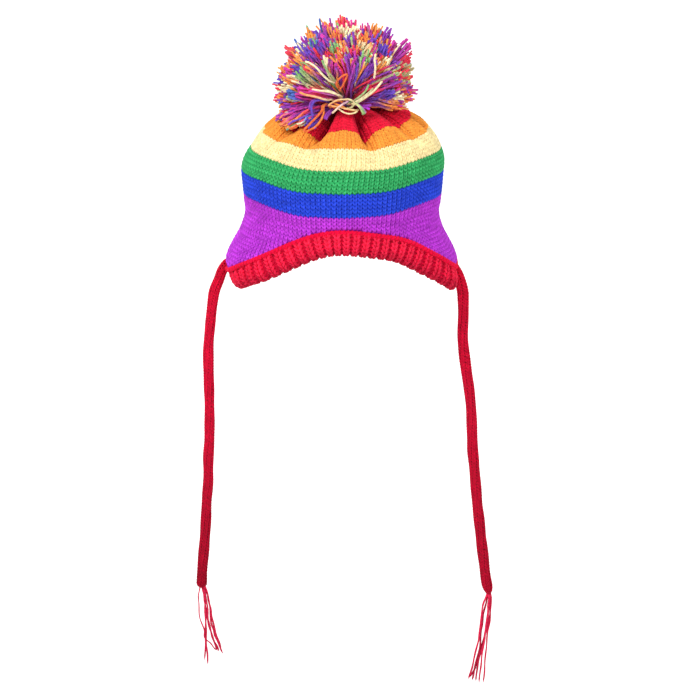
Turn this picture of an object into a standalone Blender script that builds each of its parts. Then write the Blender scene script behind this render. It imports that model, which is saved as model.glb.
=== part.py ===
"""Knitted bobble hat with two ear points, a ribbed band, a pompom and two tie cords.

Metres, +Z up. The front of the hat faces -Y and the head goes in from below. The origin is the
middle of the head opening, level with the band's lower edge at the front arch. Angles round the
hat are counted from the front, towards +X.
"""

import math
import random
from collections import namedtuple

import bmesh
import bpy
from mathutils import Vector

# Crown: one knitted tube, round in plan and gathered shut under the pompom.
CROWN_RADIUS = 0.0724
CROWN_TOP = 0.0980
CROWN_LEAN = 0.0038
LEAN_START = 0.0462
LEAN_END = 0.0732
NECK_INSET = 0.0032
KNIT_WALL = 0.0030

# Ear points: the knit reaches down at both sides and flares there.
EAR_DROP = 0.0390
EAR_FLARE = 0.0138
EAR_START = 0.0292
EAR_POWER_LEFT = 2.0
EAR_POWER_RIGHT = 3.5
EAR_ROWS = 5

# Band: a ribbed strip, folded double and sewn under the crown's edge.
BAND_HEIGHT = 0.0192
BAND_THICKNESS = 0.0088
RIB_COUNT = 60
RIB_DEPTH = 0.0011
SEAM_GAP = 0.0005
EAR_TUCK = 0.0040

# Gathers: folds drawn in under the pompom, with puffed lobes between them.
FOLD_DEPTH = 0.0095
LOBE_PUFF = 0.0014

# Pompom tie: the yarn that holds the pompom, knotted inside the crown.
TIE_RADIUS = 0.0030
TIE_CLEARANCE = 0.0005
KNOT_RADIUS = 0.0070
KNOT_HEIGHT = 0.0060
KNOT_GAP = 0.0004
TIE_SIDES = 16

# Pompom: locks of yarn that fan out of a head seated on the gathers.
POMPOM_RADIUS = 0.0508
POMPOM_RISE = 0.0090
HEAD_RADIUS = 0.0265
HEAD_GAP = 0.0004
LOCK_LIFT = 0.0015
LOCK_GAP = 0.0010
LOCK_FALL_DEG = 104.0
LOCK_SWAY = 0.0014
LOCK_SEED = 7
POCKET_DEPTH = 0.0120

# Tie cords: knitted tubes sewn to the ear points, each ending in loose yarn.
CORD_DIAMETER = 0.0076
CORD_STEP = 0.0170
CORD_BEVEL_RESOLUTION = 2
FRINGE_LENGTH = 0.0600
FRINGE_HEAD = 0.0030
FRINGE_GAP = 0.0007
STRAND_WIDTH = 0.0016
STRAND_PITCH = 0.0021
STRAND_STEPS = 4

# Shape of the crown above the ear points: height as a share of CROWN_TOP, radius as a share of
# CROWN_RADIUS, and how much of FOLD_DEPTH the gathers take there.
CrownRow = namedtuple("CrownRow", "height radius fold")
CROWN_ROWS = (
    CrownRow(0.400, 0.990, 0.00),
    CrownRow(0.520, 1.000, 0.00),
    CrownRow(0.600, 0.985, 0.00),
    CrownRow(0.672, 0.940, 0.00),
    CrownRow(0.745, 0.888, 0.05),
    CrownRow(0.806, 0.828, 0.20),
    CrownRow(0.860, 0.750, 0.50),
    CrownRow(0.907, 0.645, 0.80),
    CrownRow(0.946, 0.545, 1.00),
    CrownRow(0.977, 0.430, 0.95),
    CrownRow(0.995, 0.300, 0.60),
    CrownRow(1.000, 0.180, 0.20),
)
RING_SHARE = 0.975  # radius where the ear points start, as a share of CROWN_RADIUS

# Flare of an ear point: distance below the front seam as a share of EAR_DROP, and the part of
# EAR_FLARE reached there.
EarRow = namedtuple("EarRow", "drop flare")
EAR_TABLE = (
    EarRow(0.00, 0.00),
    EarRow(0.15, 0.05),
    EarRow(0.27, 0.16),
    EarRow(0.40, 0.31),
    EarRow(0.51, 0.49),
    EarRow(0.63, 0.69),
    EarRow(0.74, 0.86),
    EarRow(0.86, 0.99),
    EarRow(0.94, 1.00),
    EarRow(1.00, 0.93),
)

# Gathers in order round the crown: place in degrees, depth as a share of FOLD_DEPTH and half
# width in degrees.
Fold = namedtuple("Fold", "angle depth width")
FOLDS = (
    Fold(-21, 0.85, 8),
    Fold(12, 1.00, 7),
    Fold(50, 0.75, 8),
    Fold(86, 0.70, 8),
    Fold(122, 0.85, 8),
    Fold(159, 0.90, 7),
    Fold(195, 0.80, 8),
    Fold(231, 0.90, 8),
    Fold(266, 0.70, 8),
    Fold(302, 0.75, 8),
)

# Section of the band: outward as a share of half its thickness, down as a share of its height,
# and how much of RIB_DEPTH the ribs have there. The top is a flat land under the crown's edge.
BandPoint = namedtuple("BandPoint", "out down rib")
BAND_SECTION = (
    BandPoint(0.46, 0.00, 0.0),
    BandPoint(0.92, 0.08, 0.0),
    BandPoint(0.90, 0.20, 0.5),
    BandPoint(1.00, 0.42, 1.0),
    BandPoint(0.93, 0.72, 1.0),
    BandPoint(0.56, 0.94, 1.0),
    BandPoint(0.00, 1.00, 0.8),
    BandPoint(-0.56, 0.94, 0.6),
    BandPoint(-0.95, 0.60, 0.5),
    BandPoint(-0.92, 0.15, 0.2),
    BandPoint(-0.46, 0.00, 0.0),
)

# Free route of each tie cord's centreline, from the ear point down.
CORD_LEFT = (
    (-0.0857, 0.000, -0.0210),
    (-0.0875, 0.000, -0.0260),
    (-0.0893, 0.000, -0.0321),
    (-0.0914, -0.001, -0.0395),
    (-0.0927, -0.001, -0.0468),
    (-0.0938, -0.001, -0.0557),
    (-0.0951, 0.000, -0.0690),
    (-0.0962, 0.001, -0.0838),
    (-0.0961, 0.001, -0.1023),
    (-0.0956, 0.000, -0.1247),
    (-0.0958, -0.001, -0.1493),
    (-0.0967, -0.001, -0.1642),
    (-0.0968, 0.000, -0.1807),
    (-0.0980, 0.000, -0.1957),
    (-0.0988, 0.001, -0.2122),
    (-0.1000, 0.001, -0.2296),
    (-0.1015, 0.000, -0.2469),
    (-0.1022, 0.000, -0.2613),
)
CORD_RIGHT = (
    (0.0857, 0.000, -0.0210),
    (0.0864, 0.000, -0.0278),
    (0.0866, 0.000, -0.0348),
    (0.0868, 0.000, -0.0408),
    (0.0871, 0.000, -0.0468),
    (0.0873, 0.001, -0.0579),
    (0.0869, 0.001, -0.0727),
    (0.0877, 0.001, -0.0838),
    (0.0896, 0.000, -0.0986),
    (0.0916, -0.001, -0.1120),
    (0.0932, -0.001, -0.1269),
    (0.0940, 0.000, -0.1448),
    (0.0945, 0.001, -0.1582),
    (0.0956, 0.001, -0.1695),
    (0.0969, 0.000, -0.1844),
    (0.0982, -0.001, -0.1995),
    (0.0995, -0.001, -0.2107),
    (0.1011, 0.000, -0.2258),
    (0.1030, 0.000, -0.2409),
    (0.1047, 0.000, -0.2548),
    (0.1066, 0.000, -0.2653),
)

# Loose yarns of each fringe, in two rows of three: column and row of its place in the head, and
# where its end swings to sideways, forwards and down, as shares of FRINGE_LENGTH.
Strand = namedtuple("Strand", "column row side front length")
FRINGE_LEFT = (
    Strand(0, 0, 0.05, -0.02, 0.90),
    Strand(1, 0, 0.12, -0.04, 0.98),
    Strand(2, 0, 0.29, -0.02, 0.82),
    Strand(0, 1, 0.07, 0.05, 0.97),
    Strand(1, 1, 0.11, 0.06, 0.86),
    Strand(2, 1, 0.25, 0.04, 0.90),
)
FRINGE_RIGHT = (
    Strand(0, 0, -0.30, -0.03, 0.99),
    Strand(1, 0, -0.22, -0.04, 1.02),
    Strand(2, 0, -0.13, -0.02, 1.06),
    Strand(0, 1, -0.27, 0.05, 1.00),
    Strand(1, 1, -0.19, 0.06, 1.04),
    Strand(2, 1, -0.11, 0.04, 1.05),
)

# Colour, roughness and metallic value of each material.
CROWN_YARN = ("crown_yarn", (0.48, 0.05, 0.60), 0.95)
RED_YARN = ("red_yarn", (0.75, 0.01, 0.05), 0.95)
POMPOM_YARN = ("pompom_yarn", (0.62, 0.22, 0.30), 0.95)

SEAM_FRONT = BAND_HEIGHT + SEAM_GAP
RING_RADIUS = RING_SHARE * CROWN_RADIUS
NECK_RADIUS = CROWN_RADIUS - NECK_INSET
HOLE_RADIUS = TIE_RADIUS + TIE_CLEARANCE


def clear_scene():
    """Remove what the startup file holds."""
    for thing in list(bpy.data.objects):
        bpy.data.objects.remove(thing)


def material(name, colour, roughness):
    """A Principled material, made once and then shared."""
    found = bpy.data.materials.get(name)
    if found:
        return found
    made = bpy.data.materials.new(name)
    made.use_nodes = True
    shader = made.node_tree.nodes["Principled BSDF"]
    shader.inputs["Base Color"].default_value = (*colour, 1.0)
    shader.inputs["Roughness"].default_value = roughness
    shader.inputs["Metallic"].default_value = 0.0
    made.diffuse_color = (*colour, 1.0)
    return made


def add_object(name, data, finish):
    """Put a mesh or a curve in the scene under a node's name."""
    thing = bpy.data.objects.new(name, data)
    bpy.context.scene.collection.objects.link(thing)
    data.materials.append(material(*finish))
    return thing


def add_mesh(name, mesh_edit, finish, sharp_deg=50):
    """Turn a bmesh into a smooth-shaded object with outward faces."""
    bmesh.ops.recalc_face_normals(mesh_edit, faces=mesh_edit.faces)
    mesh = bpy.data.meshes.new(name)
    mesh_edit.to_mesh(mesh)
    mesh_edit.free()
    mesh.shade_smooth()
    mesh.set_sharp_from_angle(angle=math.radians(sharp_deg))
    return add_object(name, mesh, finish)


def join_rings(mesh_edit, rings, closed=False):
    """Quads between neighbouring rings of vertices, and from the last to the first if closed."""
    pairs = list(zip(rings, rings[1:]))
    if closed:
        pairs.append((rings[-1], rings[0]))
    for lower, upper in pairs:
        count = len(lower)
        for i in range(count):
            j = (i + 1) % count
            mesh_edit.faces.new((lower[i], lower[j], upper[j], upper[i]))


def table_value(x, keys, values):
    """Smooth curve through a table's rows, flat past its ends."""
    if x <= keys[0]:
        return values[0]
    if x >= keys[-1]:
        return values[-1]
    i = max(k for k in range(len(keys) - 1) if keys[k] <= x)
    slopes = []
    for k in (i, i + 1):
        before, after = max(k - 1, 0), min(k + 1, len(keys) - 1)
        slopes.append((values[after] - values[before]) / (keys[after] - keys[before]))
    span = keys[i + 1] - keys[i]
    t = (x - keys[i]) / span
    rise = values[i + 1] - values[i]
    bend = (1 - t) * (slopes[0] * span - rise) - t * (slopes[1] * span - rise)
    return values[i] + rise * t + t * (1 - t) * bend


def round_point(angle, radius, height, across=0.0):
    """A point at an angle round the hat, counted from the front."""
    return Vector((across + radius * math.sin(angle), -radius * math.cos(angle), height))


def lean(height):
    """Sideways shift of the crown's upper part, which leans towards +X."""
    rise = min(max((height - LEAN_START) / (LEAN_END - LEAN_START), 0.0), 1.0)
    return CROWN_LEAN * rise * rise * (3 - 2 * rise)


def seam_height(angle):
    """Height of the crown's edge, which arches at the front and back."""
    side = math.sin(angle)
    power = EAR_POWER_RIGHT if side > 0 else EAR_POWER_LEFT
    return SEAM_FRONT - EAR_DROP * abs(side) ** power


def ear_radius(height):
    """Outer radius of the knit below the ring where the ear points start."""
    drop = (SEAM_FRONT - height) / EAR_DROP
    keys = [row.drop for row in EAR_TABLE]
    flare = table_value(drop, keys, [row.flare for row in EAR_TABLE])
    rise = min(max((height - SEAM_FRONT) / (EAR_START - SEAM_FRONT), 0.0), 1.0)
    ease = rise * rise * (3 - 2 * rise)
    return NECK_RADIUS + EAR_FLARE * flare + (RING_RADIUS - NECK_RADIUS) * ease


def fold_pull(angle):
    """How far the gathers pull the knit in at an angle, in metres; a puffed lobe is negative."""
    pull, nearest = 0.0, 0.0
    for fold in FOLDS:
        off = math.degrees(angle) - fold.angle
        off = (off + 180) % 360 - 180
        dip = math.exp(-((off / fold.width) ** 2))
        pull += fold.depth * dip
        nearest = max(nearest, dip)
    return FOLD_DEPTH * pull - LOBE_PUFF * (1 - nearest)


def crown_angles():
    """Columns of the crown: close together at each fold and one in the middle of each lobe."""
    angles = []
    for i, fold in enumerate(FOLDS):
        angles += [fold.angle + share * fold.width for share in (-1.5, -0.7, 0.0, 0.7, 1.5)]
        after = FOLDS[(i + 1) % len(FOLDS)].angle + (360 if i == len(FOLDS) - 1 else 0)
        angles.append((fold.angle + after) / 2)
    return [math.radians(a) for a in angles]


def crown_profile(angle):
    """(radius, height, fold share) of one column's outer surface, from the edge to the hole."""
    edge = seam_height(angle)
    rows = []
    for i in range(EAR_ROWS):
        height = edge + (EAR_START - edge) * i / EAR_ROWS
        rows.append((ear_radius(height), height, 0.0))
    rows.append((RING_RADIUS, EAR_START, 0.0))
    for row in CROWN_ROWS:
        rows.append((row.radius * CROWN_RADIUS, row.height * CROWN_TOP, row.fold))
    rows.append((HOLE_RADIUS, CROWN_TOP, 0.0))
    return rows


def outward(rows, i):
    """Unit normal of a profile at row i, as (radius, height)."""
    if i == len(rows) - 1:
        return 0.0, 1.0
    if i == 0:
        return 1.0, 0.0
    before, after = rows[i - 1], rows[i + 1]
    run, rise = after[0] - before[0], after[1] - before[1]
    length = math.hypot(run, rise)
    return rise / length, -run / length


def build_crown():
    """The knitted shell, open below, with its gathers and the hole for the pompom tie."""
    mesh_edit = bmesh.new()
    columns = []
    for angle in crown_angles():
        rows = crown_profile(angle)
        outer, inner = [], []
        for i, (radius, height, share) in enumerate(rows):
            out, up = outward(rows, i)
            pull = share * fold_pull(angle)
            for wall, side in ((0.0, outer), (KNIT_WALL, inner)):
                shift = pull + wall
                level = height - up * shift
                side.append(round_point(angle, radius - out * shift, level, lean(level)))
        columns.append([mesh_edit.verts.new(p) for p in outer + inner[::-1]])
    rings = [list(ring) for ring in zip(*columns)]
    join_rings(mesh_edit, rings, closed=True)
    return add_mesh("crown", mesh_edit, CROWN_YARN)


def seam_point(angle):
    """Middle of the crown's wall at its lower edge."""
    height = seam_height(angle)
    return round_point(angle, ear_radius(height) - KNIT_WALL / 2, height)


def build_band():
    """The ribbed band, a closed loop that hangs square to the seam all the way round."""
    mesh_edit = bmesh.new()
    sections = []
    count = 2 * RIB_COUNT
    for i in range(count):
        angle = 2 * math.pi * i / count
        step = math.pi / count
        along = (seam_point(angle + step) - seam_point(angle - step)).normalized()
        out = round_point(angle, 1.0, 0.0)
        down = along.cross(out).normalized()
        if down.z > 0:
            down.negate()
        ridge = RIB_DEPTH / 2 if i % 2 else -RIB_DEPTH / 2
        section = []
        for p in BAND_SECTION:
            sideways = p.out * BAND_THICKNESS / 2 - EAR_TUCK * math.sin(angle) ** 2
            hang = SEAM_GAP + p.down * (BAND_HEIGHT - RIB_DEPTH / 2)
            around = Vector((p.out, p.down * 2 - 1)).normalized() * ridge * p.rib
            spot = seam_point(angle) + out * (sideways + around.x) + down * (hang + around.y)
            section.append(mesh_edit.verts.new(spot))
        sections.append(section)
    join_rings(mesh_edit, sections, closed=True)
    return add_mesh("band", mesh_edit, RED_YARN)


def lathe(name, profile, sides, finish):
    """A solid turned about the gathered hole from (radius, height) points, its axis included."""
    mesh_edit = bmesh.new()
    rings = []
    for radius, height in profile[1:-1]:
        turns = [2 * math.pi * i / sides for i in range(sides)]
        spots = [round_point(a, radius, height, CROWN_LEAN) for a in turns]
        rings.append([mesh_edit.verts.new(spot) for spot in spots])
    join_rings(mesh_edit, rings)
    for ring, (_, height) in ((rings[0], profile[0]), (rings[-1], profile[-1])):
        pole = mesh_edit.verts.new((CROWN_LEAN, 0.0, height))
        for i in range(sides):
            mesh_edit.faces.new((ring[i], ring[(i + 1) % sides], pole))
    return add_mesh(name, mesh_edit, finish)


def build_pompom_tie():
    """Yarn stem through the gathered hole, with its knot inside the crown."""
    top = CROWN_TOP + LOBE_PUFF + HEAD_GAP + POCKET_DEPTH - TIE_CLEARANCE
    under = CROWN_TOP - KNIT_WALL - KNOT_GAP
    profile = [
        (0.0, under - KNOT_HEIGHT),
        (0.55 * KNOT_RADIUS, under - KNOT_HEIGHT),
        (KNOT_RADIUS, under - 0.6 * KNOT_HEIGHT),
        (0.8 * KNOT_RADIUS, under),
        (TIE_RADIUS, under),
        (TIE_RADIUS, top),
        (0.0, top),
    ]
    return lathe("pompom_tie", profile, TIE_SIDES, POMPOM_YARN)


def cell_sphere():
    """Unit sphere of five and six sided cells: the dual of a subdivided icosahedron."""
    source = bmesh.new()
    bmesh.ops.create_icosphere(source, subdivisions=3, radius=1.0)
    source.verts.ensure_lookup_table()
    cells = bmesh.new()
    corners = {f.index: None for f in source.faces}
    source.faces.index_update()
    for face in source.faces:
        corners[face.index] = cells.verts.new(face.calc_center_median().normalized())
    for vert in source.verts:
        axis = vert.co.normalized()
        across = axis.orthogonal().normalized()
        up = axis.cross(across)

        def turn(face):
            middle = face.calc_center_median()
            return math.atan2(middle.dot(up), middle.dot(across))

        ring = sorted(vert.link_faces, key=turn)
        cells.faces.new([corners[face.index] for face in ring])
    source.free()
    return cells


def pompom_reach(direction):
    """Distance from the heart to a ball whose middle sits higher, along a unit direction."""
    aside = POMPOM_RISE * math.sqrt(max(1 - direction.z**2, 0.0))
    return POMPOM_RISE * direction.z + math.sqrt(POMPOM_RADIUS**2 - aside**2)


def shoulder_height(offset):
    """Lowest height for a lock above the crown, at a place counted from the gathered hole."""
    out = math.hypot(offset.x, offset.y)
    below = CROWN_ROWS[0]
    for row in CROWN_ROWS[1:]:
        if out >= row.radius * CROWN_RADIUS:
            share = (below.radius * CROWN_RADIUS - out) / ((below.radius - row.radius) * CROWN_RADIUS)
            level = below.height + (row.height - below.height) * min(max(share, 0.0), 1.0)
            return level * CROWN_TOP + LOBE_PUFF + LOCK_GAP
        below = row
    return CROWN_TOP + LOBE_PUFF + LOCK_GAP


def build_pompom():
    """A domed head with one tapering lock of yarn on every cell of its upper side."""
    floor = CROWN_TOP + LOBE_PUFF + HEAD_GAP
    heart = Vector((CROWN_LEAN, 0.0, floor + LOCK_LIFT))
    mesh_edit = cell_sphere()
    lowest = min(mesh_edit.faces, key=lambda f: f.calc_center_median().z)
    fall = math.cos(math.radians(LOCK_FALL_DEG))
    locks = [f for f in mesh_edit.faces if f.calc_center_median().normalized().z > fall]
    aims = {}
    for vert in mesh_edit.verts:
        aims[vert] = vert.co.normalized()
    pocket = set(lowest.verts)
    pocket_radius = (TIE_RADIUS + TIE_CLEARANCE) / math.cos(math.pi / len(pocket))
    for vert, aim in aims.items():
        vert.co = heart + aim * HEAD_RADIUS
        vert.co.z = max(vert.co.z, floor)
        if vert in pocket:
            flat = Vector((aim.x, aim.y, 0.0)).normalized() * pocket_radius
            vert.co = Vector((heart.x + flat.x, heart.y + flat.y, floor))
    chance = random.Random(LOCK_SEED)
    plans = []
    for face in locks:
        plans.append([vert.co.copy() for vert in face.verts])
    for share, width in ((0.55, 0.92), (1.0, 0.68)):
        locks = bmesh.ops.extrude_discrete_faces(mesh_edit, faces=locks)["faces"]
        for face, roots in zip(locks, plans):
            middle = sum(roots, Vector()) / len(roots)
            aim = (middle - heart).normalized()
            length = pompom_reach(aim)
            if share == 1.0:
                length *= chance.uniform(0.95, 1.0)
            centre = middle + aim * (length - (middle - heart).length) * share
            if share == 1.0:
                centre += LOCK_SWAY * Vector([chance.uniform(-1, 1) for _ in range(3)])
            spread = width * (centre - heart).length / (middle - heart).length
            lift = 0.0
            for vert, root in zip(face.verts, roots):
                vert.co = centre + (root - middle) * spread
                lift = max(lift, shoulder_height(vert.co - heart) - vert.co.z)
            for vert in face.verts:
                vert.co.z += lift
    socket = bmesh.ops.extrude_discrete_faces(mesh_edit, faces=[lowest])["faces"][0]
    for vert in socket.verts:
        vert.co.z += POCKET_DEPTH
    return add_mesh("pompom", mesh_edit, POMPOM_YARN)


def smooth_route(points, steps=12):
    """Many points on a smooth curve through a route's own points."""
    knots = [Vector(p) for p in points]
    knots = [2 * knots[0] - knots[1], *knots, 2 * knots[-1] - knots[-2]]
    line = []
    for i in range(1, len(knots) - 2):
        a, b, c, d = knots[i - 1 : i + 3]
        for k in range(steps):
            t = k / steps
            bend = (2 * a - 5 * b + 4 * c - d) * t**2 + (3 * b - a - 3 * c + d) * t**3
            line.append((2 * b + (c - a) * t + bend) / 2)
    return line + [knots[-2]]


def even_points(line, step):
    """Points at an even distance along a line, its two ends included."""
    lengths = [0.0]
    for a, b in zip(line, line[1:]):
        lengths.append(lengths[-1] + (b - a).length)
    count = max(2, round(lengths[-1] / step))
    points, k = [], 0
    for i in range(count + 1):
        want = lengths[-1] * i / count
        while k < len(line) - 2 and lengths[k + 1] < want:
            k += 1
        share = (want - lengths[k]) / (lengths[k + 1] - lengths[k])
        points.append(line[k].lerp(line[k + 1], share))
    return points


def build_cord(name, route):
    """A tie cord as a round tube along its free route."""
    curve = bpy.data.curves.new(name, "CURVE")
    curve.dimensions = "3D"
    curve.bevel_depth = CORD_DIAMETER / 2
    curve.bevel_resolution = CORD_BEVEL_RESOLUTION
    curve.use_fill_caps = True
    points = even_points(smooth_route(route), CORD_STEP)
    spline = curve.splines.new("POLY")
    spline.points.add(len(points) - 1)
    for spot, point in zip(spline.points, points):
        spot.co = (*point, 1.0)
    return add_object(name, curve, RED_YARN)


def build_fringe(name, route, strands):
    """Loose yarns that hang from a small head under the end of a tie cord."""
    columns = 1 + max(s.column for s in strands)
    rows = 1 + max(s.row for s in strands)
    top = Vector(route[-1]) - Vector((0.0, 0.0, FRINGE_GAP))
    mesh_edit = bmesh.new()

    def corner(column, row, drop):
        x = (column - columns / 2) * STRAND_PITCH
        y = (row - rows / 2) * STRAND_PITCH
        return mesh_edit.verts.new(top + Vector((x, y, -drop)))

    grid = {}
    for drop in (0.0, FRINGE_HEAD):
        for column in range(columns + 1):
            for row in range(rows + 1):
                grid[column, row, drop] = corner(column, row, drop)

    def quad(*places):
        return mesh_edit.faces.new([grid[place] for place in places])

    cells = {}
    for c in range(columns):
        for r in range(rows):
            for drop in (0.0, FRINGE_HEAD):
                places = ((c, r), (c + 1, r), (c + 1, r + 1), (c, r + 1))
                cells[c, r, drop] = quad(*[(*place, drop) for place in places])
    for c in range(columns):
        for r in (0, rows):
            quad((c, r, 0.0), (c + 1, r, 0.0), (c + 1, r, FRINGE_HEAD), (c, r, FRINGE_HEAD))
    for r in range(rows):
        for c in (0, columns):
            quad((c, r, 0.0), (c, r + 1, 0.0), (c, r + 1, FRINGE_HEAD), (c, r, FRINGE_HEAD))

    ends = [cells[s.column, s.row, FRINGE_HEAD] for s in strands]
    starts = [face.calc_center_median() for face in ends]
    for step in range(1, STRAND_STEPS + 1):
        share = step / STRAND_STEPS
        ends = bmesh.ops.extrude_discrete_faces(mesh_edit, faces=ends)["faces"]
        for face, start, strand in zip(ends, starts, strands):
            swing = Vector((strand.side, strand.front, 0.0)) * share**1.4
            fall = Vector((0.0, 0.0, -strand.length * share))
            centre = start + (swing + fall) * FRINGE_LENGTH
            now = face.calc_center_median()
            shrink = STRAND_WIDTH / STRAND_PITCH if step == 1 else 1.0
            for vert in face.verts:
                vert.co = centre + (vert.co - now) * shrink
    return add_mesh(name, mesh_edit, RED_YARN)


def main():
    clear_scene()
    build_crown()
    build_band()
    build_pompom_tie()
    build_pompom()
    build_cord("tie_left", CORD_LEFT)
    build_cord("tie_right", CORD_RIGHT)
    build_fringe("fringe_left", CORD_LEFT, FRINGE_LEFT)
    build_fringe("fringe_right", CORD_RIGHT, FRINGE_RIGHT)


main()
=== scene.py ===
"""Looks of the knitted pompom hat: every stitch, cut yarn and cord as modelled yarn.

Metres, the same frame as the solids: +Z up, the front of the hat faces -Y, angles round the hat
counted from the front towards +X. Tables whose comment says so are in millimetres.
"""

import math
from collections import namedtuple

import bpy
import numpy as np
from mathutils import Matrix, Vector


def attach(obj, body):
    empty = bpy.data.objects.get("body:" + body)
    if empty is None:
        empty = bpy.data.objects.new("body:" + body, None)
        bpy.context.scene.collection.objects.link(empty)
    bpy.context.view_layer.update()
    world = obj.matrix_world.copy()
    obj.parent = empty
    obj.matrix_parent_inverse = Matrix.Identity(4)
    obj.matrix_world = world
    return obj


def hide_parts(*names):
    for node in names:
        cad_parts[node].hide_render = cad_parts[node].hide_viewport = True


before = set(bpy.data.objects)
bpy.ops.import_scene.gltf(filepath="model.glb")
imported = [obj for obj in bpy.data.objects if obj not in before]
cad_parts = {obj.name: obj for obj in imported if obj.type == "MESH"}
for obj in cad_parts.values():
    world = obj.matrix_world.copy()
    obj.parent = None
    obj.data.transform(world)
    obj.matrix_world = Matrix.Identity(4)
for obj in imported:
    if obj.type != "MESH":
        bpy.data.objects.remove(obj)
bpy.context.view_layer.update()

MM = 0.001
TAU = 2 * math.pi

# Sizes shared with the solids.
CROWN_RADIUS = 0.0724
CROWN_TOP = 0.0980
CROWN_LEAN = 0.0038
LEAN_START = 0.0462
LEAN_END = 0.0732
NECK_RADIUS = 0.0692
RING_RADIUS = 0.975 * CROWN_RADIUS
EAR_DROP = 0.0390
EAR_FLARE = 0.0138
EAR_START = 0.0292
EAR_POWER_LEFT = 2.0
EAR_POWER_RIGHT = 3.5
SEAM_FRONT = 0.0197
KNIT_WALL = 0.0030
BAND_HEIGHT = 0.0192
RIB_COUNT = 60
EAR_TUCK = 0.0040
CORD_DIAMETER = 0.0076

# How deep the gathers are, and how far the cloth puffs out between them.
FOLD_DEPTH = 0.0110
LOBE_PUFF = 0.0008

# How the edge settles, by the sine of its angle: at the right it sags beside the front and is
# lifted a little near the ear point, and at the left the tip of the point sags.
SETTLE_SAG = 0.0022
SETTLE_SPAN = 0.78
SETTLE_LIFT = 0.0008
LIFT_START = 0.68
LEFT_TIP_SAG = 0.0018
LEFT_TIP_START = 0.82

# How the band turns over at the ear points, from a share of the sine of its angle on: in at the
# left, where it is also shorter and tucked in less, and out at the right.
ROLL_START = 0.78
ROLL_LEFT_DEG = 18
ROLL_RIGHT_DEG = -7
LEFT_TIP_SHRINK = 0.17
LEFT_TIP_TUCK = 0.0025

# Section of the crown above its ring, as shares of its height and radius, with the gathers' share.
CrownRow = namedtuple("CrownRow", "height radius fold")
CROWN_ROWS = (
    CrownRow(0.400, 0.990, 0.00),
    CrownRow(0.520, 1.000, 0.00),
    CrownRow(0.600, 0.985, 0.00),
    CrownRow(0.672, 0.940, 0.02),
    CrownRow(0.745, 0.888, 0.16),
    CrownRow(0.806, 0.828, 0.45),
    CrownRow(0.860, 0.750, 0.78),
    CrownRow(0.907, 0.645, 1.00),
    CrownRow(0.946, 0.545, 1.05),
    CrownRow(0.977, 0.430, 0.95),
    CrownRow(0.995, 0.300, 0.60),
    CrownRow(1.000, 0.180, 0.20),
    CrownRow(1.001, 0.050, 0.00),
)

# How the knit flares out below the ring, as shares of the ear points' drop and flare.
EarRow = namedtuple("EarRow", "drop flare")
EAR_TABLE = (
    EarRow(0.00, 0.00),
    EarRow(0.15, 0.05),
    EarRow(0.27, 0.16),
    EarRow(0.40, 0.31),
    EarRow(0.51, 0.49),
    EarRow(0.63, 0.69),
    EarRow(0.74, 0.86),
    EarRow(0.86, 0.99),
    EarRow(0.94, 1.00),
    EarRow(1.00, 0.93),
)

# Gathers: place, depth, half width in degrees, and how far the fold swings round on its way up.
Fold = namedtuple("Fold", "angle depth width swing")
FOLDS = (
    Fold(-30, 1.15, 8.0, 7),
    Fold(17, 1.20, 6.0, -2),
    Fold(56, 0.55, 7.0, -6),
    Fold(86, 0.70, 8.0, 4),
    Fold(122, 0.85, 7.0, -5),
    Fold(159, 0.90, 6.5, 5),
    Fold(195, 0.80, 7.5, -4),
    Fold(231, 0.90, 7.0, 6),
    Fold(266, 0.70, 8.0, -3),
    Fold(302, 0.75, 7.5, 6),
)

# Knitting.
WALES = 120
COURSE = 0.00285
STRIPE_COURSES = 6
STRIPE_START_Z = 0.0290
YARN_RADIUS = 0.00098
TOP_STITCH_RADIUS = 0.026
STITCH_SINK = 0.0012
CROWN_COLUMNS = 960
CROWN_STEPS = 420
BACKING_COLUMNS = 180
BACKING_ROWS = 48
BACKING_DEPTHS = (0.0009, 0.0021)
# How far the stitches keep from the crown's edge and from its closed top.
EDGE_GAP = 0.002
# The lowest and the highest place of a stitch's yarn, in courses, where the stripe changes.
STRIPE_FOOT = -0.45
STRIPE_HEAD = 0.26
# How far the cloth ripples: twice all round, and once where it is gathered.
RIPPLES = (0.00035, 0.00045, 0.0006)

# The courses ride up at the sides and dip a little under the gathers: distance up the cloth from
# the first purple course, and how far the cloth is shifted there at the sides, all round and more
# on the right.
CourseShift = namedtuple("CourseShift", "up side round right")
COURSE_SHIFTS = (
    CourseShift(-0.060, 0.0046, 0.0000, 0.0000),
    CourseShift(0.000, 0.0046, -0.0003, 0.0000),
    CourseShift(0.017, 0.0046, 0.0000, 0.0000),
    CourseShift(0.034, 0.0038, -0.0002, 0.0004),
    CourseShift(0.051, 0.0016, -0.0009, 0.0024),
    CourseShift(0.068, 0.0006, -0.0022, 0.0028),
    CourseShift(0.090, 0.0000, 0.0000, 0.0000),
)

# One stitch of the smooth knit, as the left half of a loop: across in stitches, up in courses and
# out in millimetres. The right half mirrors it.
KNIT_STITCH = (
    (0.00, -0.70, -0.30),
    (0.42, -0.64, 0.08),
    (0.355, -0.15, 0.54),
    (0.150, 0.42, 0.30),
    (0.50, 0.90, -0.36),
)
# One stitch of the rib: a raised V, with the sunk purl loop between two ribs.
RIB_STITCH = (
    (0.00, -0.35, -0.85),
    (0.17, -0.72, -0.45),
    (0.43, -0.66, 0.15),
    (0.365, -0.12, 0.85),
    (0.210, 0.48, 0.50),
    (0.50, 0.92, -0.35),
)

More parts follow.
